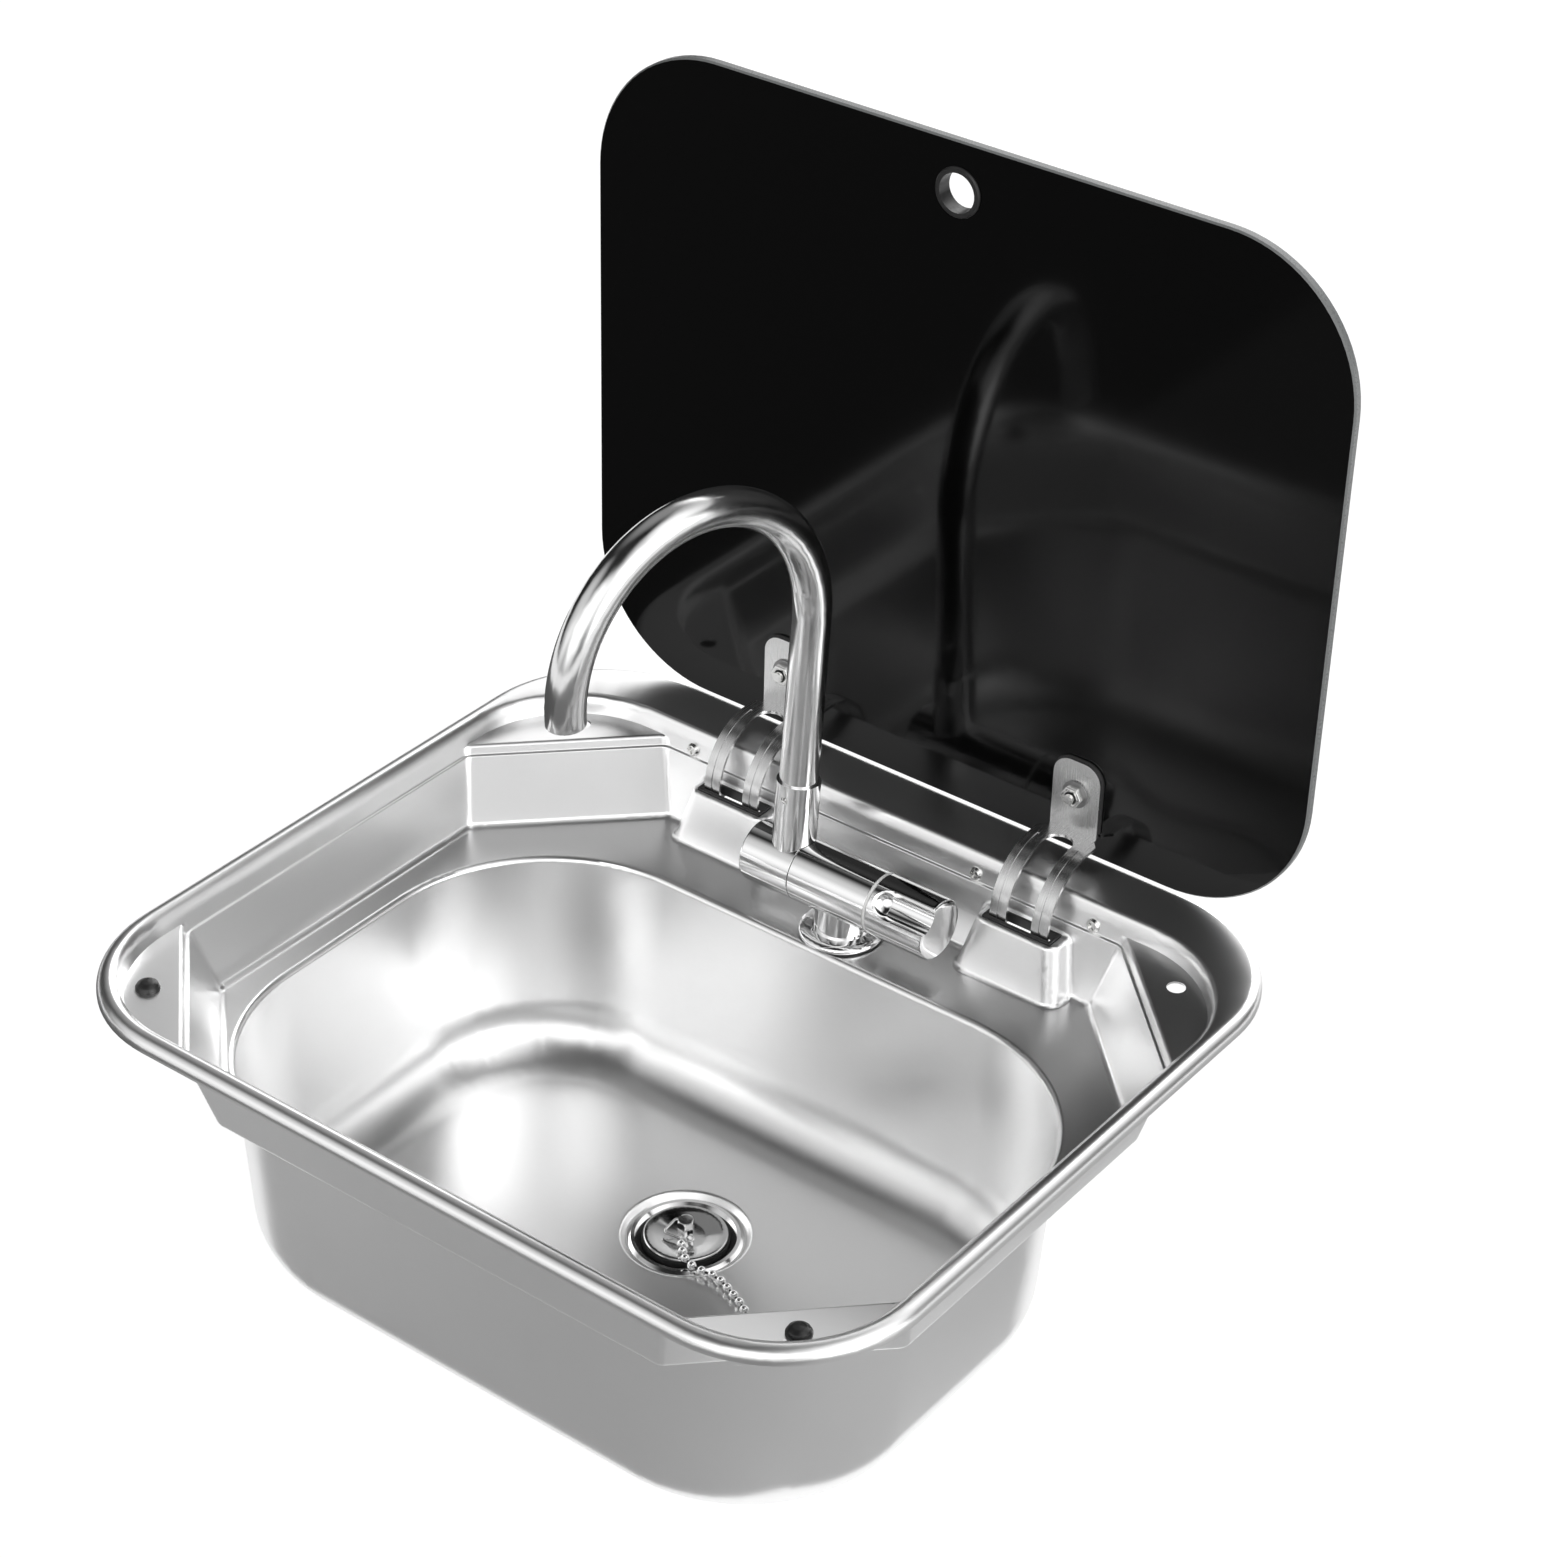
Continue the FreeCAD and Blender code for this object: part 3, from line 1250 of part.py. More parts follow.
def make_arm(name, middle_x):
    """Forked hinge arm: a tab on the glass, two curved legs through the slot and an ear on each leg."""
    top = hinge_z + arm_radius
    strap = arm_strap(middle_x)
    half = arm_width / 2
    half_tab = tab_width / 2
    shoulder_y = tab_face_y - arm_thickness
    far = hinge_y - arm_radius - overrun
    plan = [
        V(middle_x - half, far, 0),
        V(middle_x + half, far, 0),
        V(middle_x + half, shoulder_y - arm_shoulder, 0),
        V(middle_x + half_tab, shoulder_y - arm_thickness, 0),
        V(middle_x + half_tab, tab_face_y + overrun, 0),
        V(middle_x - half_tab, tab_face_y + overrun, 0),
        V(middle_x - half_tab, shoulder_y - arm_thickness, 0),
        V(middle_x - half, shoulder_y - arm_shoulder, 0),
    ]
    prism = Part.Face(Part.makePolygon(plan + [plan[0]])).extrude(Z_AXIS * (arm_radius * 4))
    prism.translate(Z_AXIS * (hinge_z - arm_radius * 1.5))
    strap = strap.common(prism)
    half_slot = arm_slot_width / 2
    slot_end = shoulder_y - arm_shoulder - half_slot
    low = hinge_z - arm_radius
    slot = box_between(V(middle_x - half_slot, far, low), V(middle_x + half_slot, slot_end, top + overrun))
    slot = slot.fuse(rod(half_slot, V(middle_x, slot_end, low), V(middle_x, slot_end, top + overrun)))
    strap = strap.cut(slot)
    tab_top = top + tab_height
    tab_zone = box_between(
        V(middle_x - half, shoulder_y - overrun, tab_top - tab_corner_radius),
        V(middle_x + half, tab_face_y + overrun, tab_top + overrun),
    )
    crown = tab_plate(middle_x, 0, shoulder_y - overrun, arm_thickness + overrun * 2)
    strap = strap.cut(tab_zone.cut(crown))
    hole = lid_bolt_radius + bolt_hole_clearance
    start = bolt_point(middle_x, shoulder_y - overrun)
    strap = strap.cut(rod(hole, start, bolt_point(middle_x, tab_face_y + overrun)))
    strap = strap.cut(leg_grooves(middle_x))
    pieces = [strap]
    pin = V(0, hinge_y, hinge_z)
    tip = math.radians(180 + arm_tip_angle)
    along = V(0, math.cos(tip), math.sin(tip))
    across = V(0, -math.sin(tip), math.cos(tip))
    reach = arm_radius - arm_thickness / 2
    blade = [
        pin - across * (arm_ear_width / 2),
        pin + along * reach - across * (arm_ear_width / 2),
        pin + along * reach,
        pin + across * (arm_ear_width / 2),
    ]
    for side in (-1, 1):
        ear_x = middle_x + (half if side > 0 else -half + arm_thickness)
        ear = Part.Face(Part.makePolygon(blade + [blade[0]])).extrude(X_AXIS * -arm_thickness)
        hub = rod(arm_hub_radius, pin, pin - X_AXIS * arm_thickness)
        ear = ear.fuse(hub)
        ear.translate(X_AXIS * ear_x)
        pieces.append(ear)
    arm = pieces[0].fuse(pieces[1:])
    bore = hinge_pin_radius + running_clearance
    arm = arm.cut(rod(bore, pin + X_AXIS * (middle_x - arm_width), pin + X_AXIS * (middle_x + arm_width)))
    export("hinge_arm_" + name, arm)


def make_lid_fixings():
    """Pads, bolts, washers and nuts that hold the two arms on the glass."""
    pads, bolts, washers, nuts = [], [], [], []
    back = lid_face_y + lid_thickness
    front = tab_face_y - arm_thickness
    hole = lid_bolt_radius + bolt_hole_clearance
    for middle_x in hinge_sides.values():
        pad = tab_plate(middle_x, pad_margin, tab_face_y, pad_thickness)
        pads.append(pad.cut(rod(hole, bolt_point(middle_x, front), bolt_point(middle_x, back))))
        washer_front = front - lid_washer_thickness
        nut_front = washer_front - lid_nut_height
        head = turned([
            (0, 0),
            (lid_bolt_head_radius, 0),
            (lid_bolt_head_radius, lid_bolt_head_height / 2),
            (lid_bolt_head_radius - lid_bolt_head_height / 2, lid_bolt_head_height),
            (0, lid_bolt_head_height),
        ], bolt_point(middle_x, back), Y_AXIS)
        shank_end = bolt_point(middle_x, nut_front - lid_bolt_tail)
        bolts.append(head.fuse(rod(lid_bolt_radius, shank_end, bolt_point(middle_x, back))))
        grip = lid_bolt_radius + running_clearance
        seat = bolt_point(middle_x, front)
        washer_face = bolt_point(middle_x, washer_front)
        washers.append(pipe(lid_washer_radius, grip, washer_face, seat))
        nut = hexagon(lid_nut_across_flats, bolt_point(middle_x, nut_front), washer_face)
        nuts.append(nut.cut(rod(grip, bolt_point(middle_x, nut_front - overrun), seat)))
    export("hinge_pads", Part.makeCompound(pads))
    export("lid_bolts", Part.makeCompound(bolts))
    export("lid_washers", Part.makeCompound(washers))
    export("lid_nuts", Part.makeCompound(nuts))


def make_cassette(name, middle_x):
    """Moulded hinge cassette: a bezel in the slot, two cheeks that hold the pin and a screw plate."""
    bezel_half = slot_half_width - assembly_clearance
    inner_half = bezel_half - bezel_lip
    bezel_front = slot_front + assembly_clearance
    bezel_rear = slot_rear - assembly_clearance
    ceiling = housing_z - sheet
    bezel_top = housing_z + bezel_height
    pin = V(middle_x, hinge_y, hinge_z)
    ring = box_between(
        V(middle_x - bezel_half, bezel_front, ceiling - cassette_wall),
        V(middle_x + bezel_half, bezel_rear, bezel_top),
    )
    cheek_rear = hinge_y + cassette_behind_pin
    cheek_foot = hinge_z - cassette_below_pin
    behind_wall = mouth_rear - wall_inset(cassette_ear_top_depth) + sheet + assembly_clearance
    cheek_front = bezel_front + cassette_wall
    cheek = [
        V(0, cheek_front, ceiling - assembly_clearance),
        V(0, cheek_front, cheek_foot + cassette_behind_pin),
        V(0, cheek_front + cassette_behind_pin, cheek_foot),
        V(0, cheek_rear, cheek_foot),
        V(0, cheek_rear, hinge_z + cassette_behind_pin),
        V(0, behind_wall, hinge_z + cassette_behind_pin),
        V(0, behind_wall, ceiling - assembly_clearance),
    ]
    pieces = [ring]
    for side in (-1, 1):
        face = Part.Face(Part.makePolygon(cheek + [cheek[0]]))
        plate = face.extrude(X_AXIS * cassette_wall)
        start = inner_half if side > 0 else -inner_half - cassette_wall
        plate.translate(X_AXIS * (middle_x + start))
        pieces.append(plate)
    skin = sheet * (1 + draft_run) * math.cos(math.radians(wall_draft))
    down_wall = V(0, -math.sin(math.radians(wall_draft)), -math.cos(math.radians(wall_draft)))
    ear_foot = wall_point(step_drop) + X_AXIS * middle_x - wall_normal * skin
    ear_height = (step_drop - cassette_ear_top_depth) / math.cos(math.radians(wall_draft))
    corners = []
    for x, up in ((-1, 0), (1, 0), (1, 1), (-1, 1)):
        corners.append(ear_foot + X_AXIS * (x * cassette_ear_reach) - down_wall * (up * ear_height))
    strip = Part.Face(Part.makePolygon(corners + [corners[0]])).extrude(wall_normal * -cassette_plate)
    pieces.append(strip)
    cassette = pieces[0].fuse(pieces[1:])
    cassette = cassette.cut(box_between(
        V(middle_x - inner_half, bezel_front + bezel_lip, ceiling - cassette_wall - overrun),
        V(middle_x + inner_half, bezel_rear - bezel_lip, bezel_top + overrun),
    ))
    bore = hinge_pin_radius + running_clearance
    span = X_AXIS * (slot_half_width + cassette_wall + overrun)
    cassette = cassette.cut(rod(bore, pin - span, pin + span))
    for place in screw_places():
        cassette = cassette.cut(rod(
            hinge_screw_radius + running_clearance,
            place,
            place - wall_normal * (skin + cassette_plate + overrun),
        ))
    export("hinge_cassette_" + name, cassette)
    reach = X_AXIS * (inner_half + cassette_wall + hinge_pin_overhang)
    export("hinge_pin_" + name, rod(hinge_pin_radius, pin - reach, pin + reach))


def make_hinge_fixings():
    """Friction washers beside the arm ears and the screws through the tray's rear wall."""
    inner_half = slot_half_width - assembly_clearance - bezel_lip
    washers = []
    for middle_x in hinge_sides.values():
        for side in (-1, 1):
            outer = V(middle_x + side * inner_half, hinge_y, hinge_z)
            inner = outer - X_AXIS * (side * spring_washer_thickness)
            washers.append(pipe(spring_washer_radius, hinge_pin_radius + running_clearance, inner, outer))
    export("hinge_friction_washers", Part.makeCompound(washers))
    screws = []
    for place in screw_places():
        head = turned([
            (0, 0),
            (hinge_screw_head_radius, 0),
            (hinge_screw_head_radius, hinge_screw_head_height * hinge_screw_edge_share),
            (hinge_screw_head_radius * hinge_screw_crown_share, hinge_screw_head_height),
            (0, hinge_screw_head_height),
        ], place, wall_normal)
        screws.append(head.fuse(rod(hinge_screw_radius, place - wall_normal * hinge_screw_length, place)))
    export("hinge_screws", Part.makeCompound(screws))


make_pan()
make_rim_seal()
make_bumpers()
make_waste()
make_stopper()
make_chain_ring()
make_chain()
make_tap_body()
make_tap_seats()
make_cartridge()
make_handle()
make_knuckle()
make_spout()
make_lid_glass()
make_lid_fixings()
make_hinge_fixings()
for side_name, side_x in hinge_sides.items():
    make_arm(side_name, side_x)
    make_cassette(side_name, side_x)
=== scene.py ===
import json
import math

import bpy
from mathutils import Matrix, Vector

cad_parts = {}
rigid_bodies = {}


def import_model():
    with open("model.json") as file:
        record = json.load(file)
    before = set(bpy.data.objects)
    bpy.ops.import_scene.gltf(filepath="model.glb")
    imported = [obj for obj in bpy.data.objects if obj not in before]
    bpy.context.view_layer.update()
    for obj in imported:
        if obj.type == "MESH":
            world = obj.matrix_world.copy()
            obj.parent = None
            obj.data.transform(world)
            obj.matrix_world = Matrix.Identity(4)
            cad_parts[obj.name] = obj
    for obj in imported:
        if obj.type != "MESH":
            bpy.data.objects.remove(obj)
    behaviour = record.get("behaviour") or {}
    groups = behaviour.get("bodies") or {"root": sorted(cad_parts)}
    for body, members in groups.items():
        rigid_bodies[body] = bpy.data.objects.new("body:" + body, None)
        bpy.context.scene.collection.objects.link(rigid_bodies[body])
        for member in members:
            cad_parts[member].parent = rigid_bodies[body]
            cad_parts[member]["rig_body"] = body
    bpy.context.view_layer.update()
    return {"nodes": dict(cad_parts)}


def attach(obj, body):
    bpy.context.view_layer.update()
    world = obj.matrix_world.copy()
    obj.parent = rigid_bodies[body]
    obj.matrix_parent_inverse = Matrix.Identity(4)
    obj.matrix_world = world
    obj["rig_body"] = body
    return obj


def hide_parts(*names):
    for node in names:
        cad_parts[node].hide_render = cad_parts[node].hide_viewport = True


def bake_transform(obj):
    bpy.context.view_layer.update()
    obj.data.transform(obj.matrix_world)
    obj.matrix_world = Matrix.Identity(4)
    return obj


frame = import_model()
bpy.ops.object.select_all(action="DESELECT")


# The camera stands in front and to the right of the sink and looks down into the bowl, as a
# customer would at a counter, with a long lens and a slight tilt of the frame.
camera = bpy.data.objects.new("counter_camera", bpy.data.cameras.new("counter_camera"))
bpy.context.scene.collection.objects.link(camera)
camera.data.sensor_width = 36.0
camera.data.lens = 85.82
camera.data.clip_start = 0.05
camera.matrix_world = (
    Matrix.Translation((0.8068, -1.0191, 0.9538))
    @ Matrix.Rotation(math.radians(36.63), 4, "Z")
    @ Matrix.Rotation(math.radians(90 - 33.19), 4, "X")
    @ Matrix.Rotation(math.radians(1.5), 4, "Z")
)
bpy.context.scene.camera = camera
bpy.context.scene.view_settings.view_transform = "Standard"


# The studio: a white table that runs out to a white wall, large soft boxes low around it with the
# strongest behind and on the right, and grey and black cards that show only in the metal and glass.
floor_height = -0.2222
bpy.ops.mesh.primitive_plane_add(size=16, location=(0, 0, floor_height))
table = bpy.context.object
table.name = "studio_table"
table_paint = bpy.data.materials.new("studio_white")
table_paint.use_nodes = True
nodes = table_paint.node_tree.nodes
links = table_paint.node_tree.links
nodes.remove(nodes["Principled BSDF"])
ray = nodes.new("ShaderNodeLightPath")
seen_or_mirrored = nodes.new("ShaderNodeMath")
seen_or_mirrored.operation = "MAXIMUM"
links.new(ray.outputs["Is Camera Ray"], seen_or_mirrored.inputs[0])
links.new(ray.outputs["Is Glossy Ray"], seen_or_mirrored.inputs[1])
shown = nodes.new("ShaderNodeMath")
shown.operation = "MAXIMUM"
links.new(seen_or_mirrored.outputs[0], shown.inputs[0])
links.new(ray.outputs["Is Transmission Ray"], shown.inputs[1])
matt = nodes.new("ShaderNodeBsdfDiffuse")
matt.inputs["Color"].default_value = (0.80, 0.80, 0.80, 1)
faint = nodes.new("ShaderNodeBsdfDiffuse")
faint.inputs["Color"].default_value = (0.32, 0.32, 0.32, 1)
glow = nodes.new("ShaderNodeEmission")
glow.inputs["Strength"].default_value = 0.79
lifted = nodes.new("ShaderNodeAddShader")
links.new(faint.outputs[0], lifted.inputs[0])
links.new(glow.outputs[0], lifted.inputs[1])
choice = nodes.new("ShaderNodeMixShader")
links.new(shown.outputs[0], choice.inputs["Fac"])
links.new(matt.outputs[0], choice.inputs[1])
links.new(lifted.outputs[0], choice.inputs[2])
links.new(choice.outputs[0], nodes["Material Output"].inputs["Surface"])
table.data.materials.append(table_paint)

air = bpy.data.worlds.new("studio_air")
bpy.context.scene.world = air
air.use_nodes = True
nodes = air.node_tree.nodes
links = air.node_tree.links
way = nodes.new("ShaderNodeTexCoord")
room = nodes["Background"]
dimmest = nodes.new("ShaderNodeValue")
dimmest.outputs[0].default_value = 0.02
light_so_far = dimmest.outputs[0]
box_rim = math.cos(math.radians(36))
box_core = math.cos(math.radians(6))
soft_boxes = (  # degrees round from the sink's right, degrees above the table, brightness
    (0, 8, 2.80),
    (100, 24, 3.20),
    (285, 27, 1.55),
    (345, 27, 0.85),
    (225, 27, 0.75),
    (250, 6, 0.50),
    (315, 27, 0.40),
    (0, 51, 0.80),
    (45, 51, 0.75),
    (135, 51, 0.28),
)
for turn, rise, brightness in soft_boxes:
    turn, rise = math.radians(turn), math.radians(rise)
    towards = nodes.new("ShaderNodeVectorMath")
    towards.operation = "DOT_PRODUCT"
    towards.inputs[1].default_value = (
        math.cos(rise) * math.cos(turn), math.cos(rise) * math.sin(turn), math.sin(rise))
    links.new(way.outputs["Generated"], towards.inputs[0])
    soft_edge = nodes.new("ShaderNodeMapRange")
    soft_edge.interpolation_type = "SMOOTHSTEP"
    soft_edge.inputs["From Min"].default_value = box_rim
    soft_edge.inputs["From Max"].default_value = box_core
    soft_edge.inputs["To Max"].default_value = brightness
    links.new(towards.outputs["Value"], soft_edge.inputs["Value"])
    added = nodes.new("ShaderNodeMath")
    links.new(light_so_far, added.inputs[0])
    links.new(soft_edge.outputs["Result"], added.inputs[1])
    light_so_far = added.outputs[0]
links.new(light_so_far, room.inputs["Strength"])
room.inputs["Color"].default_value = (1, 1, 1, 1)
wall = nodes.new("ShaderNodeBackground")
wall.inputs["Color"].default_value = (1, 1, 1, 1)
ray = nodes.new("ShaderNodeLightPath")
choice = nodes.new("ShaderNodeMixShader")
links.new(ray.outputs["Is Camera Ray"], choice.inputs["Fac"])
links.new(room.outputs[0], choice.inputs[1])
links.new(wall.outputs[0], choice.inputs[2])
links.new(choice.outputs[0], nodes["World Output"].inputs["Surface"])


def table_card(name, place, width, length, grey):
    """A card on the table that shows only in what the metal and the glass reflect."""
    x, y, height = place
    bpy.ops.mesh.primitive_plane_add(size=1, location=(x, y, floor_height + height))
    card = bpy.context.object
    card.name = name
    card.scale = (width, length, 1)
    card.visible_camera = False
    card.visible_diffuse = False
    card.visible_shadow = False
    paper = bpy.data.materials.new(name)
    paper.use_nodes = True
    shader = paper.node_tree.nodes["Principled BSDF"]
    shader.inputs["Base Color"].default_value = (grey, grey, grey, 1)
    shader.inputs["Roughness"].default_value = 1.0
    card.data.materials.append(paper)


# The near card is a grey sheet that stands in, as painted shade, for the table's shade in front of the
# sink as the metal reflects it.
table_card("near_shade_card", (-0.07, -0.29, 0.004), 0.58, 0.30, 0.45)
table_card("left_card", (-0.85, -0.30, 0.003), 1.00, 1.60, 0.09)
table_card("front_card", (0.20, -1.00, 0.002), 2.40, 1.30, 0.18)
table_card("right_card", (0.62, 0.30, 0.003), 0.85, 1.30, 0.42)


# The stopper's ball chain: hollow chromed brass beads joined by short pins, coloured near black as
# painted shade in the gaps between the beads. It leaves the small eye at the triangular ring, runs
# over the waste's edge and lies loosely along the bowl's floor.
chain_thickness = 0.0036
bead_size = 0.0045
bead_pitch = 0.00549
pin_size = 0.0012
drain_y = 0.004
bowl_floor = -0.1465
chain_points = [
    (0.0052, -0.0096, 0.0019),
    (0.0125, -0.0180, 0.0032),
    (0.0220, -0.0192, 0.0022),
    (0.0310, -0.0168, 0.0021),
    (0.0420, -0.0208, 0.0021),
    (0.0550, -0.0265, 0.0021),
    (0.0665, -0.0370, 0.0021),
    (0.0715, -0.0540, 0.0021),
    (0.0650, -0.0720, 0.0021),
    (0.0480, -0.0840, 0.0021),
    (0.0260, -0.0865, 0.0021),
    (0.0040, -0.0800, 0.0021),
    (-0.0180, -0.0775, 0.0021),
    (-0.0390, -0.0840, 0.0021),
    (-0.0570, -0.0950, 0.0021),
]
route_data = bpy.data.curves.new("chain_route", "CURVE")
route_data.dimensions = "3D"
route_data.resolution_u = 24
spline = route_data.splines.new("NURBS")
spline.points.add(len(chain_points) - 1)
for point, (x, y, height) in zip(spline.points, chain_points):
    point.co = (x, y + drain_y, bowl_floor + height, 1)
spline.order_u = 3
spline.use_endpoint_u = True
route = bpy.data.objects.new("chain_route", route_data)
bpy.context.scene.collection.objects.link(route)
bpy.context.view_layer.update()
route_mesh = bpy.data.meshes.new_from_object(route)
route_line = [vertex.co.copy() for vertex in route_mesh.vertices]
bpy.data.objects.remove(route)
bpy.data.meshes.remove(route_mesh)


def along_line(line, spacing):
    """Points at even spacing along a line."""
    places = [line[0].copy()]
    left_over = spacing
    for start, end in zip(line, line[1:]):
        run = (end - start).length
        travelled = 0.0
        while run - travelled >= left_over:
            travelled += left_over
            places.append(start.lerp(end, travelled / run))
            left_over = spacing
        left_over -= run - travelled
    return places


bead_places = along_line(route_line, bead_pitch)
bead_lift = (bead_size - chain_thickness) / 2
for place in bead_places:
    place.z += bead_lift
chain_parts = []
for place in bead_places:
    bpy.ops.mesh.primitive_uv_sphere_add(
        segments=16, ring_count=10, radius=bead_size / 2, location=place)
    chain_parts.append(bpy.context.object)
first_pin_face = sum(len(part.data.polygons) for part in chain_parts)
for here, following in zip(bead_places, bead_places[1:]):
    middle = (here + following) / 2
    turn = (following - here).to_track_quat("Z", "Y").to_euler()
    bpy.ops.mesh.primitive_cylinder_add(
        vertices=8, radius=pin_size / 2, depth=(following - here).length, end_fill_type="NOTHING",
        location=middle, rotation=turn)
    chain_parts.append(bpy.context.object)
bpy.ops.object.select_all(action="DESELECT")
for part in chain_parts:
    part.select_set(True)
bpy.context.view_layer.objects.active = chain_parts[0]
bpy.ops.object.join()
chain = bpy.context.object
chain.name = "bead_chain"
chain.data.name = "bead_chain"
bpy.ops.object.transform_apply(location=True, rotation=True, scale=True)
bpy.ops.object.shade_smooth()
bpy.ops.object.select_all(action="DESELECT")


def finish(name, color, metallic, roughness):
    """A material with its plain colour, metal and gloss; returns its nodes, links and shader too."""
    material = bpy.data.materials.new(name)
    material.use_nodes = True
    shader = material.node_tree.nodes["Principled BSDF"]
    shader.inputs["Base Color"].default_value = (*color, 1)
    shader.inputs["Metallic"].default_value = metallic
    shader.inputs["Roughness"].default_value = roughness
    return material, material.node_tree.nodes, material.node_tree.links, shader


def group_sockets(group, inputs, outputs):
    """Named inputs with their plain values, and named outputs, on an effect's node group."""
    for name, value in inputs:
        kind = "NodeSocketVector" if isinstance(value, tuple) else "NodeSocketFloat"
        socket = group.interface.new_socket(name, in_out="INPUT", socket_type=kind)
        socket.default_value = value
    for name, kind in outputs:
        group.interface.new_socket(name, in_out="OUTPUT", socket_type=kind)
    return group.nodes.new("NodeGroupInput"), group.nodes.new("NodeGroupOutput")


handled = bpy.data.node_groups.new("handled_gloss", "ShaderNodeTree")
given, result = group_sockets(
    handled,
    [("Smoothest", 0.05), ("Dullest", 0.12), ("Scale", 40.0)],
    [("Roughness", "NodeSocketFloat")],
)
place = handled.nodes.new("ShaderNodeTexCoord")
cloud = handled.nodes.new("ShaderNodeTexNoise")
cloud.inputs["Detail"].default_value = 5.0
cloud.inputs["Roughness"].default_value = 0.6
handled.links.new(place.outputs["Object"], cloud.inputs["Vector"])
handled.links.new(given.outputs["Scale"], cloud.inputs["Scale"])
spread = handled.nodes.new("ShaderNodeMapRange")
spread.inputs["From Min"].default_value = 0.35
spread.inputs["From Max"].default_value = 0.65
handled.links.new(cloud.outputs["Fac"], spread.inputs["Value"])
handled.links.new(given.outputs["Smoothest"], spread.inputs["To Min"])
handled.links.new(given.outputs["Dullest"], spread.inputs["To Max"])
handled.links.new(spread.outputs["Result"], result.inputs["Roughness"])


def use_group(nodes, group, **values):
    """An effect's group placed in a material with its own values."""
    node = nodes.new("ShaderNodeGroup")
    node.node_tree = group
    for name, value in values.items():
        node.inputs[name].default_value = value
    return node


def handled_finish(name, color, metallic, roughness, **gloss_values):
    """A material whose gloss wanders a little over the surface, as use and cleaning leave it."""
    material, nodes, links, shader = finish(name, color, metallic, roughness)
    gloss = use_group(nodes, handled, **gloss_values)
    links.new(gloss.outputs["Roughness"], shader.inputs["Roughness"])
    return material


chain_chrome = handled_finish(
    "bead_chrome", (0.86, 0.86, 0.86), 1.0, 0.07, Smoothest=0.045, Dullest=0.09, Scale=260.0)
chain.data.materials.append(chain_chrome)
# The pins are near-black steel: painted shade in the gaps between the beads.
gap_shade_pins = handled_finish(
    "gap_shade_pins", (0.10, 0.10, 0.10), 1.0, 0.45, Smoothest=0.38, Dullest=0.55, Scale=260.0)
chain.data.materials.append(gap_shade_pins)
for face in chain.data.polygons[first_pin_face:]:
    face.material_index = 1


def sink_into(piece, cutter):
    """Sink a cutter's shape into a piece and drop the cutter."""
    recess = piece.modifiers.new("recess", "BOOLEAN")
    recess.operation = "DIFFERENCE"
    recess.solver = "EXACT"
    recess.object = cutter
    bpy.context.view_layer.objects.active = piece
    bpy.ops.object.modifier_apply(modifier="recess")
    bpy.data.objects.remove(cutter)
    bpy.ops.object.select_all(action="DESELECT")


def smooth_copy(node, material, bevel=0.0, sharp=28.0):
    """A smooth copy of a node: its loose triangles merged, small edges rounded, normals weighted."""
    source = frame["nodes"][node]
    copy = bpy.data.objects.new(node + "_finished", source.data.copy())
    bpy.context.scene.collection.objects.link(copy)
    bpy.context.view_layer.objects.active = copy
    copy.select_set(True)
    bpy.ops.object.mode_set(mode="EDIT")
    bpy.ops.mesh.select_all(action="SELECT")
    bpy.ops.mesh.remove_doubles(threshold=0.000004)
    bpy.ops.mesh.customdata_custom_splitnormals_clear()
    bpy.ops.object.mode_set(mode="OBJECT")
    if bevel:
        rounding = copy.modifiers.new("rounding", "BEVEL")
        rounding.width = bevel
        rounding.segments = 2
        rounding.limit_method = "ANGLE"
        rounding.angle_limit = math.radians(40)
        bpy.ops.object.modifier_apply(modifier="rounding")
    bpy.ops.object.shade_smooth_by_angle(angle=math.radians(sharp))
    weighting = copy.modifiers.new("weighting", "WEIGHTED_NORMAL")
    weighting.keep_sharp = True
    bpy.ops.object.modifier_apply(modifier="weighting")
    copy.data.materials.clear()
    copy.data.materials.append(material)
    copy.select_set(False)
    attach(copy, source["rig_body"])
    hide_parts(node)
    return copy


end_ring = smooth_copy("chain_end_ring", chain_chrome)
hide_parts("stopper_chain")
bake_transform(chain)


# Tray: rim, stepped walls, corner shelves, deck and hinge housings drawn in one piece from 1 mm
# stainless sheet with a satin finish. The finish has a fine grain along the sheet's rolling way.
grain = bpy.data.node_groups.new("satin_grain", "ShaderNodeTree")
given, result = group_sockets(
    grain,
    [
        ("Fineness", 1500.0),
        ("Stretch", (0.14, 1.0, 1.0)),
        ("Smoothest", 0.24),
        ("Dullest", 0.34),
        ("Darkest", 0.80),
        ("Lightest", 0.90),
    ],
    [("Tone", "NodeSocketFloat"), ("Roughness", "NodeSocketFloat"), ("Height", "NodeSocketFloat")],
)
place = grain.nodes.new("ShaderNodeTexCoord")
stretch = grain.nodes.new("ShaderNodeMapping")
grain.links.new(given.outputs["Stretch"], stretch.inputs["Scale"])
grain.links.new(place.outputs["Object"], stretch.inputs["Vector"])
fine = grain.nodes.new("ShaderNodeTexNoise")
fine.inputs["Detail"].default_value = 3.0
grain.links.new(stretch.outputs["Vector"], fine.inputs["Vector"])
grain.links.new(given.outputs["Fineness"], fine.inputs["Scale"])
slow = grain.nodes.new("ShaderNodeTexNoise")
slow.inputs["Scale"].default_value = 14.0
slow.inputs["Detail"].default_value = 4.0
grain.links.new(place.outputs["Object"], slow.inputs["Vector"])
blend = grain.nodes.new("ShaderNodeMath")
blend.operation = "MULTIPLY_ADD"
blend.inputs[1].default_value = 0.70
grain.links.new(slow.outputs["Fac"], blend.inputs[0])
fine_share = grain.nodes.new("ShaderNodeMath")
fine_share.operation = "MULTIPLY"
fine_share.inputs[1].default_value = 0.30
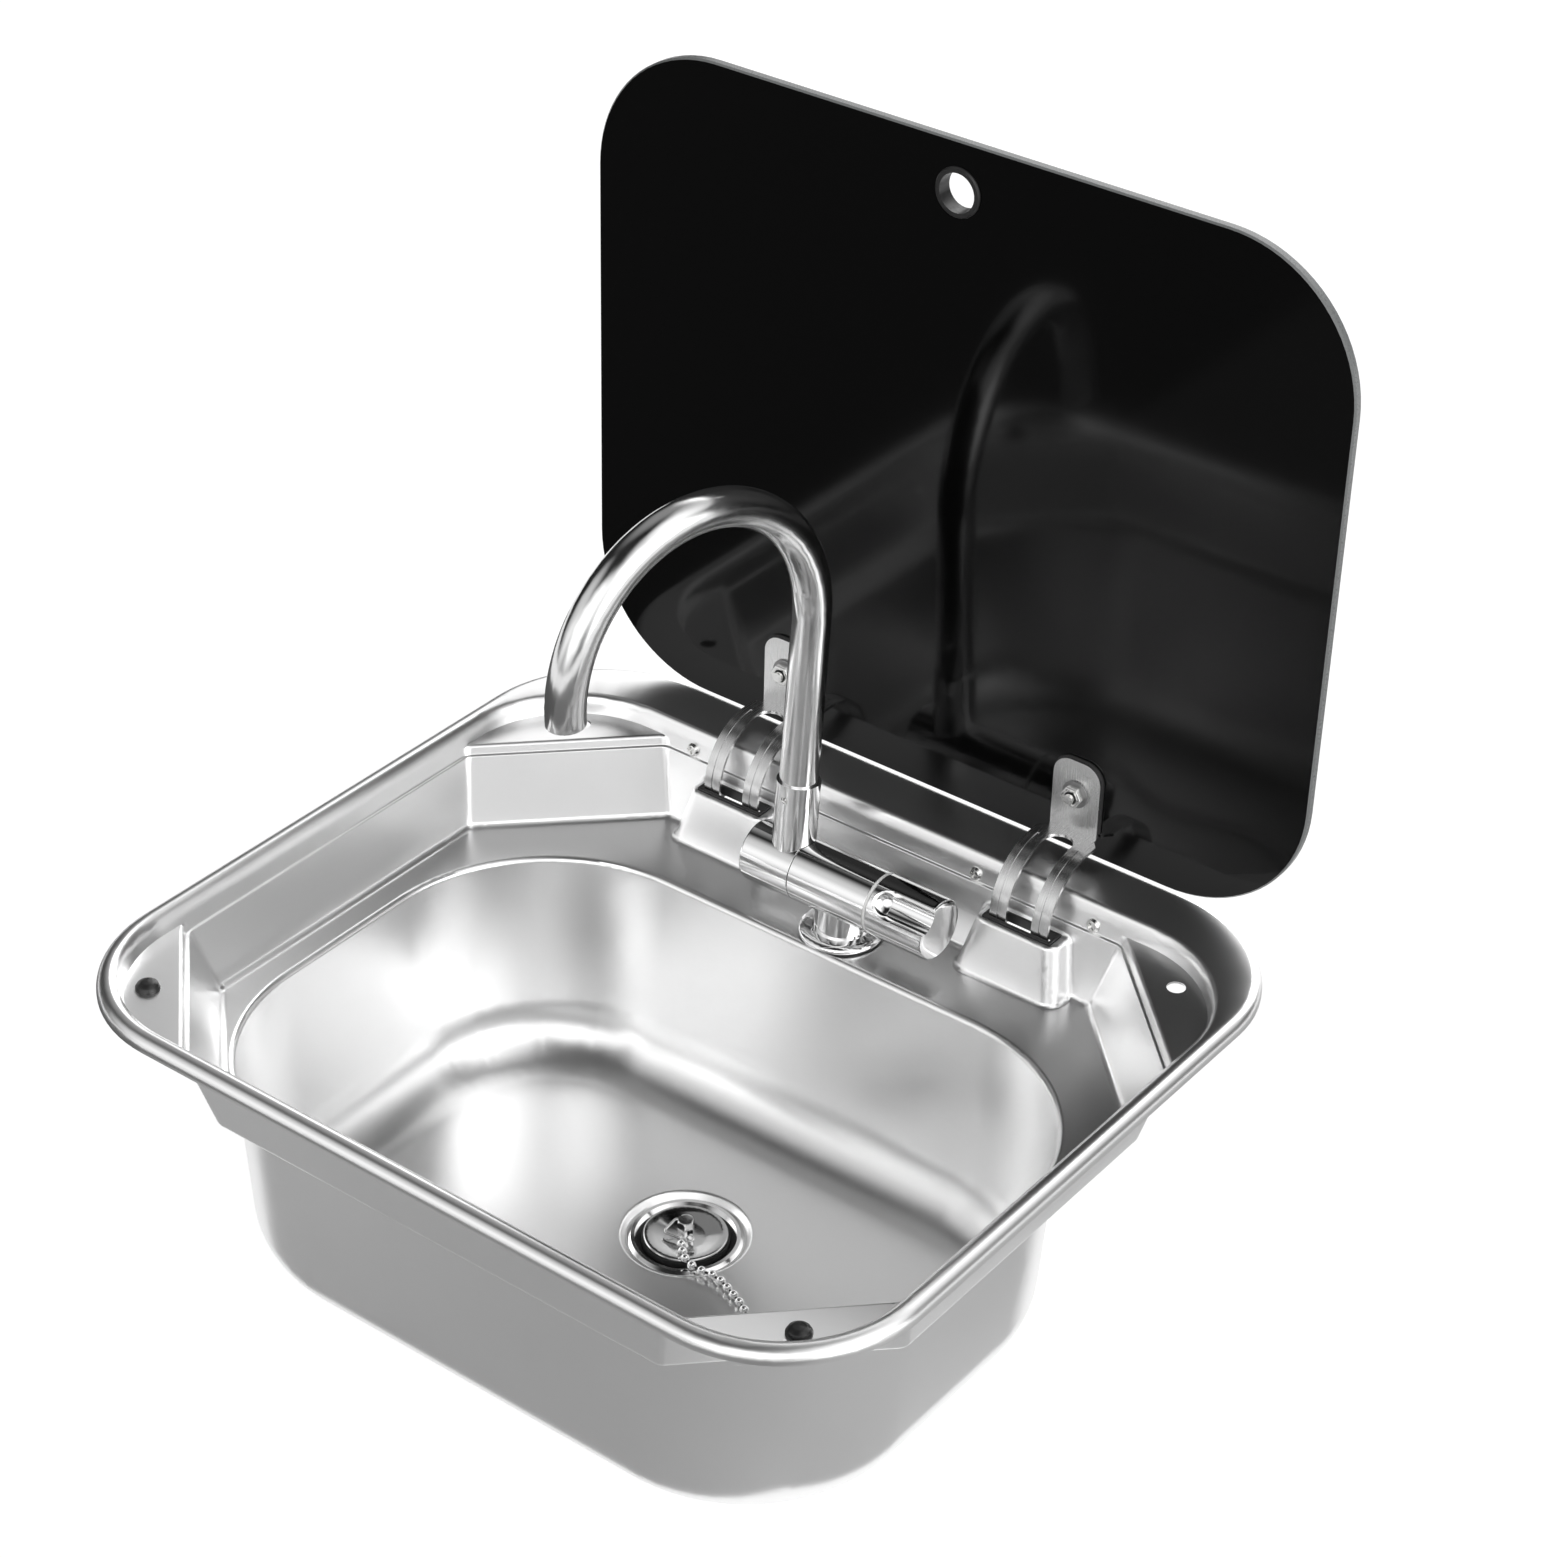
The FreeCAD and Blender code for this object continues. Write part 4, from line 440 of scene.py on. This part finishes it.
grain.links.new(fine.outputs["Fac"], fine_share.inputs[0])
grain.links.new(fine_share.outputs[0], blend.inputs[2])
for low, high, name in (("Smoothest", "Dullest", "Roughness"), ("Darkest", "Lightest", "Tone")):
    spread = grain.nodes.new("ShaderNodeMapRange")
    spread.inputs["From Min"].default_value = 0.38
    spread.inputs["From Max"].default_value = 0.62
    grain.links.new(blend.outputs[0], spread.inputs["Value"])
    grain.links.new(given.outputs[low], spread.inputs["To Min"])
    grain.links.new(given.outputs[high], spread.inputs["To Max"])
    grain.links.new(spread.outputs["Result"], result.inputs[name])
grain.links.new(fine.outputs["Fac"], result.inputs["Height"])


def grained_finish(name, color, roughness, **grain_values):
    """A steel whose tone and gloss follow the satin grain; the grain's node comes back too, so that
    its height can make scratches.
    """
    material, nodes, links, shader = finish(name, color, 1.0, roughness)
    brushed = use_group(nodes, grain, **grain_values)
    tone = nodes.new("ShaderNodeCombineColor")
    for channel in ("Red", "Green", "Blue"):
        links.new(brushed.outputs["Tone"], tone.inputs[channel])
    links.new(tone.outputs["Color"], shader.inputs["Base Color"])
    links.new(brushed.outputs["Roughness"], shader.inputs["Roughness"])
    return material, brushed


satin_steel, sheet_grain = grained_finish(
    "satin_steel", (0.86, 0.86, 0.86), 0.29,
    Fineness=1500.0, Smoothest=0.285, Dullest=0.305, Darkest=0.92, Lightest=0.94)
nodes = satin_steel.node_tree.nodes
links = satin_steel.node_tree.links
scratch = nodes.new("ShaderNodeBump")
scratch.inputs["Strength"].default_value = 0.01
scratch.inputs["Distance"].default_value = 0.0002
links.new(sheet_grain.outputs["Height"], scratch.inputs["Height"])
links.new(scratch.outputs["Normal"], nodes["Principled BSDF"].inputs["Normal"])
smooth_copy("top_tray", satin_steel, sharp=42)


# Bowl: drawn deep from the same sheet with its drain recess, welded to the tray's collar under the
# deck and brushed once more, so that its grain is a little finer and its gloss more even.
bowl_steel, _ = grained_finish(
    "bowl_steel", (0.86, 0.86, 0.86), 0.28,
    Fineness=1900.0, Smoothest=0.285, Dullest=0.30, Darkest=0.92, Lightest=0.94)
smooth_copy("bowl", bowl_steel, sharp=42)


# Rim seal: a ring of soft black foam rubber pressed under the rolled rim, which beds it on the
# worktop.
soft_rubber = handled_finish(
    "soft_rubber", (0.020, 0.020, 0.020), 0.0, 0.62, Smoothest=0.50, Dullest=0.72, Scale=320.0)
smooth_copy("rim_seal", soft_rubber)


# Lid bumpers: two moulded rubber domes with a barbed stem, pushed through holes in the front
# corner shelves, for the closed glass to rest on.
bumper_rubber = handled_finish(
    "bumper_rubber", (0.016, 0.016, 0.016), 0.0, 0.32, Smoothest=0.26, Dullest=0.40, Scale=400.0)
for side in ("left", "right"):
    smooth_copy("lid_bumper_" + side, bumper_rubber, sharp=50)


# Waste: a polished flange with its strainer cross pressed from stainless steel, with a rubber seal,
# a black back nut and a black hose tail moulded in polypropylene.
polished_steel = handled_finish(
    "polished_steel", (0.80, 0.80, 0.80), 1.0, 0.12, Smoothest=0.08, Dullest=0.17, Scale=120.0)
smooth_copy("waste_flange", polished_steel, bevel=0.0002)
smooth_copy("waste_seal", soft_rubber)
black_plastic = handled_finish(
    "black_plastic", (0.014, 0.014, 0.014), 0.0, 0.38, Smoothest=0.30, Dullest=0.46, Scale=500.0)
smooth_copy("waste_nut", black_plastic, bevel=0.0004)
smooth_copy("waste_tail", black_plastic, bevel=0.0003)


# Stopper: a dished cap of mirror-polished steel on a rubber plug, drawn together by a hexagonal
# chromed post whose cross hole carries the long triangular wire ring and the chain's eye.
# The cap's steel is coloured darker than the other polished steel, as a painted dark reflection in the
# dish.
cap_steel_painted_dark = handled_finish(
    "cap_steel_painted_dark", (0.58, 0.58, 0.58), 1.0, 0.10, Smoothest=0.08, Dullest=0.14, Scale=150.0)
smooth_copy("stopper_cap", cap_steel_painted_dark, bevel=0.0002)
smooth_copy("stopper_plug", soft_rubber, bevel=0.0003)
smooth_copy("stopper_post", chain_chrome, bevel=0.0003)
smooth_copy("stopper_nut", chain_chrome, bevel=0.0003)
smooth_copy("chain_ring", chain_chrome, sharp=60)
smooth_copy("chain_eye", chain_chrome, sharp=60)


# Tap: a turned brass body with its barrel, neck and pivot spigot, chromed where it shows, standing on
# a chromed cover plate and a fibre seal, with a steel washer and a brass nut under the deck.
tap_chrome = handled_finish(
    "tap_chrome", (0.84, 0.84, 0.84), 1.0, 0.06, Smoothest=0.045, Dullest=0.09, Scale=60.0)
smooth_copy("tap_body", tap_chrome)
smooth_copy("tap_escutcheon", tap_chrome, bevel=0.0003, sharp=40)
smooth_copy("tap_deck_seal", soft_rubber)
zinc_steel = handled_finish(
    "zinc_steel", (0.78, 0.78, 0.77), 1.0, 0.18, Smoothest=0.12, Dullest=0.24, Scale=700.0)
smooth_copy("tap_shank_washer", zinc_steel, bevel=0.0003)
turned_brass = handled_finish(
    "turned_brass", (0.76, 0.60, 0.33), 1.0, 0.28, Smoothest=0.20, Dullest=0.36, Scale=300.0)
smooth_copy("tap_shank_nut", turned_brass, bevel=0.0005)
smooth_copy("pivot_o_rings", soft_rubber, sharp=60)


# Valve: a ceramic cartridge in the barrel with a brass stem, and the white washer that shows as a
# thin ring between the barrel and the handle.
white_plastic = handled_finish(
    "white_plastic", (0.90, 0.90, 0.89), 0.0, 0.36, Smoothest=0.30, Dullest=0.44, Scale=600.0)
smooth_copy("valve_cartridge", white_plastic, bevel=0.0003)
smooth_copy("handle_washer", white_plastic, bevel=0.0001)
smooth_copy("valve_stem", turned_brass, bevel=0.0003)


# Handle: a chromed brass barrel with a thumb scoop milled along one side and out through its end,
# held on the valve's stem by a grub screw from below.
smooth_copy("tap_handle", tap_chrome, bevel=0.0003)
smooth_copy("handle_grub_screw", zinc_steel, bevel=0.0002)


# Knuckle: the chromed end barrel that folds the spout down with the lid, its flat cap and its upright
# collar with the small socket screw that keeps the spout in.
smooth_copy("spout_knuckle", tap_chrome, bevel=0.0002)
smooth_copy("knuckle_cap", tap_chrome, bevel=0.0003)
set_screw = smooth_copy("spout_set_screw", zinc_steel)
front = min(vertex.co.y for vertex in set_screw.data.vertices)
face_depth = 0.0004
face_ring = [vertex.co for vertex in set_screw.data.vertices if vertex.co.y < front + face_depth]
socket_place = sum(face_ring, Vector()) / len(face_ring)
bpy.ops.mesh.primitive_cylinder_add(
    vertices=6, radius=0.0011, depth=0.0024,
    location=socket_place, rotation=(math.radians(90), 0, 0))
sink_into(set_screw, bpy.context.object)


# Spout: an 18 mm brass tube bent to a hook, polished along its length and chromed, so that it is a
# little softer in gloss than the turned tap, with a black moulded flow straightener inside its mouth.
spout_chrome = handled_finish(
    "spout_chrome", (0.74, 0.74, 0.74), 1.0, 0.15, Smoothest=0.12, Dullest=0.18, Scale=90.0)
smooth_copy("spout_tube", spout_chrome, bevel=0.0003)
smooth_copy("flow_straightener", black_plastic)


# Lid: toughened glass with a black enamelled back, which makes it look black all through, and a
# ground edge that shows as a thin grey line. It is bored for the finger hole and two bolts.
lid_glass = handled_finish(
    "black_lid_glass", (0.0015, 0.0015, 0.0015), 0.0, 0.06, Smoothest=0.06, Dullest=0.09, Scale=9.0)
lid_glass.node_tree.nodes["Principled BSDF"].inputs["IOR"].default_value = 1.34
lid = smooth_copy("lid_glass", lid_glass)
ground_edge = handled_finish(
    "ground_edge", (0.15, 0.155, 0.155), 0.0, 0.30, Smoothest=0.22, Dullest=0.40, Scale=900.0)
lid.data.materials.append(ground_edge)
for face in lid.data.polygons:
    if abs(face.normal.y) < 0.9:
        face.material_index = 1


# Finger grommet: a black moulded ring in two lips, snapped into the finger hole.
smooth_copy("finger_grommet", black_plastic, sharp=40)


# Hinge arms: forked straps stamped from 1.5 mm stainless steel, brushed and rolled round the pin,
# their steel coloured darker than the tray's as painted shade. Each is bolted to the glass over a thin
# rubber pad, with a washer coloured dark grey as painted shadow round the nut, and a bright nut.
# The arms' steel tone is set darker than the tray's sheet, as painted shade; within it the tone
# follows the grain.
arm_steel_shaded, _ = grained_finish(
    "arm_steel_shaded", (0.80, 0.80, 0.80), 0.30,
    Fineness=2400.0, Stretch=(1.0, 0.03, 0.03),
    Smoothest=0.20, Dullest=0.28, Darkest=0.56, Lightest=0.72)
for side in ("left", "right"):
    smooth_copy("hinge_arm_" + side, arm_steel_shaded, bevel=0.0003)
smooth_copy("hinge_pads", soft_rubber, bevel=0.0002)
smooth_copy("lid_bolts", zinc_steel, bevel=0.0002)
# The washers are dark grey as painted shadow round the bright nuts.
washer_shadow_zinc = handled_finish(
    "washer_shadow_zinc", (0.30, 0.30, 0.30), 1.0, 0.40, Smoothest=0.32, Dullest=0.50, Scale=700.0)
washers = smooth_copy("lid_washers", washer_shadow_zinc, bevel=0.0002)
nuts = smooth_copy("lid_nuts", zinc_steel, bevel=0.0004)
wider = 1.2
for fastener in (washers, nuts):
    for side in (-1, 1):
        group = [vertex for vertex in fastener.data.vertices if vertex.co.x * side > 0]
        middle_x = (min(v.co.x for v in group) + max(v.co.x for v in group)) / 2
        middle_z = (min(v.co.z for v in group) + max(v.co.z for v in group)) / 2
        for vertex in group:
            vertex.co.x = middle_x + (vertex.co.x - middle_x) * wider
            vertex.co.z = middle_z + (vertex.co.z - middle_z) * wider


# Hinge cassettes: black moulded boxes behind the tray's two housings, each with a raised bezel in the
# slot, two cheeks that hold the pin, spring washers beside the arm and two cross-head screws.
for side in ("left", "right"):
    smooth_copy("hinge_cassette_" + side, black_plastic, bevel=0.0003)
    smooth_copy("hinge_pin_" + side, zinc_steel, bevel=0.0003)
smooth_copy("hinge_friction_washers", zinc_steel, bevel=0.0001)
screws = smooth_copy("hinge_screws", zinc_steel, bevel=0.0002)
screw_turns = ((-0.114, 20), (-0.050, 65), (0.050, -12), (0.114, 40))
head_y, head_z = 0.14889, -0.00372
wall_lean = Matrix.Rotation(math.radians(77), 4, "X")
for quarter in (0, 90):
    bars = []
    for x, turned in screw_turns:
        tilt = wall_lean @ Matrix.Rotation(math.radians(turned + quarter), 4, "Z")
        bpy.ops.mesh.primitive_cube_add(size=1, location=(x, head_y, head_z), rotation=tilt.to_euler())
        bpy.context.object.scale = (0.0038, 0.0009, 0.0020)
        bars.append(bpy.context.object)
    bpy.ops.object.select_all(action="DESELECT")
    for bar in bars:
        bar.select_set(True)
    bpy.context.view_layer.objects.active = bars[0]
    bpy.ops.object.join()
    bpy.ops.object.transform_apply(location=True, rotation=True, scale=True)
    sink_into(screws, bars[0])
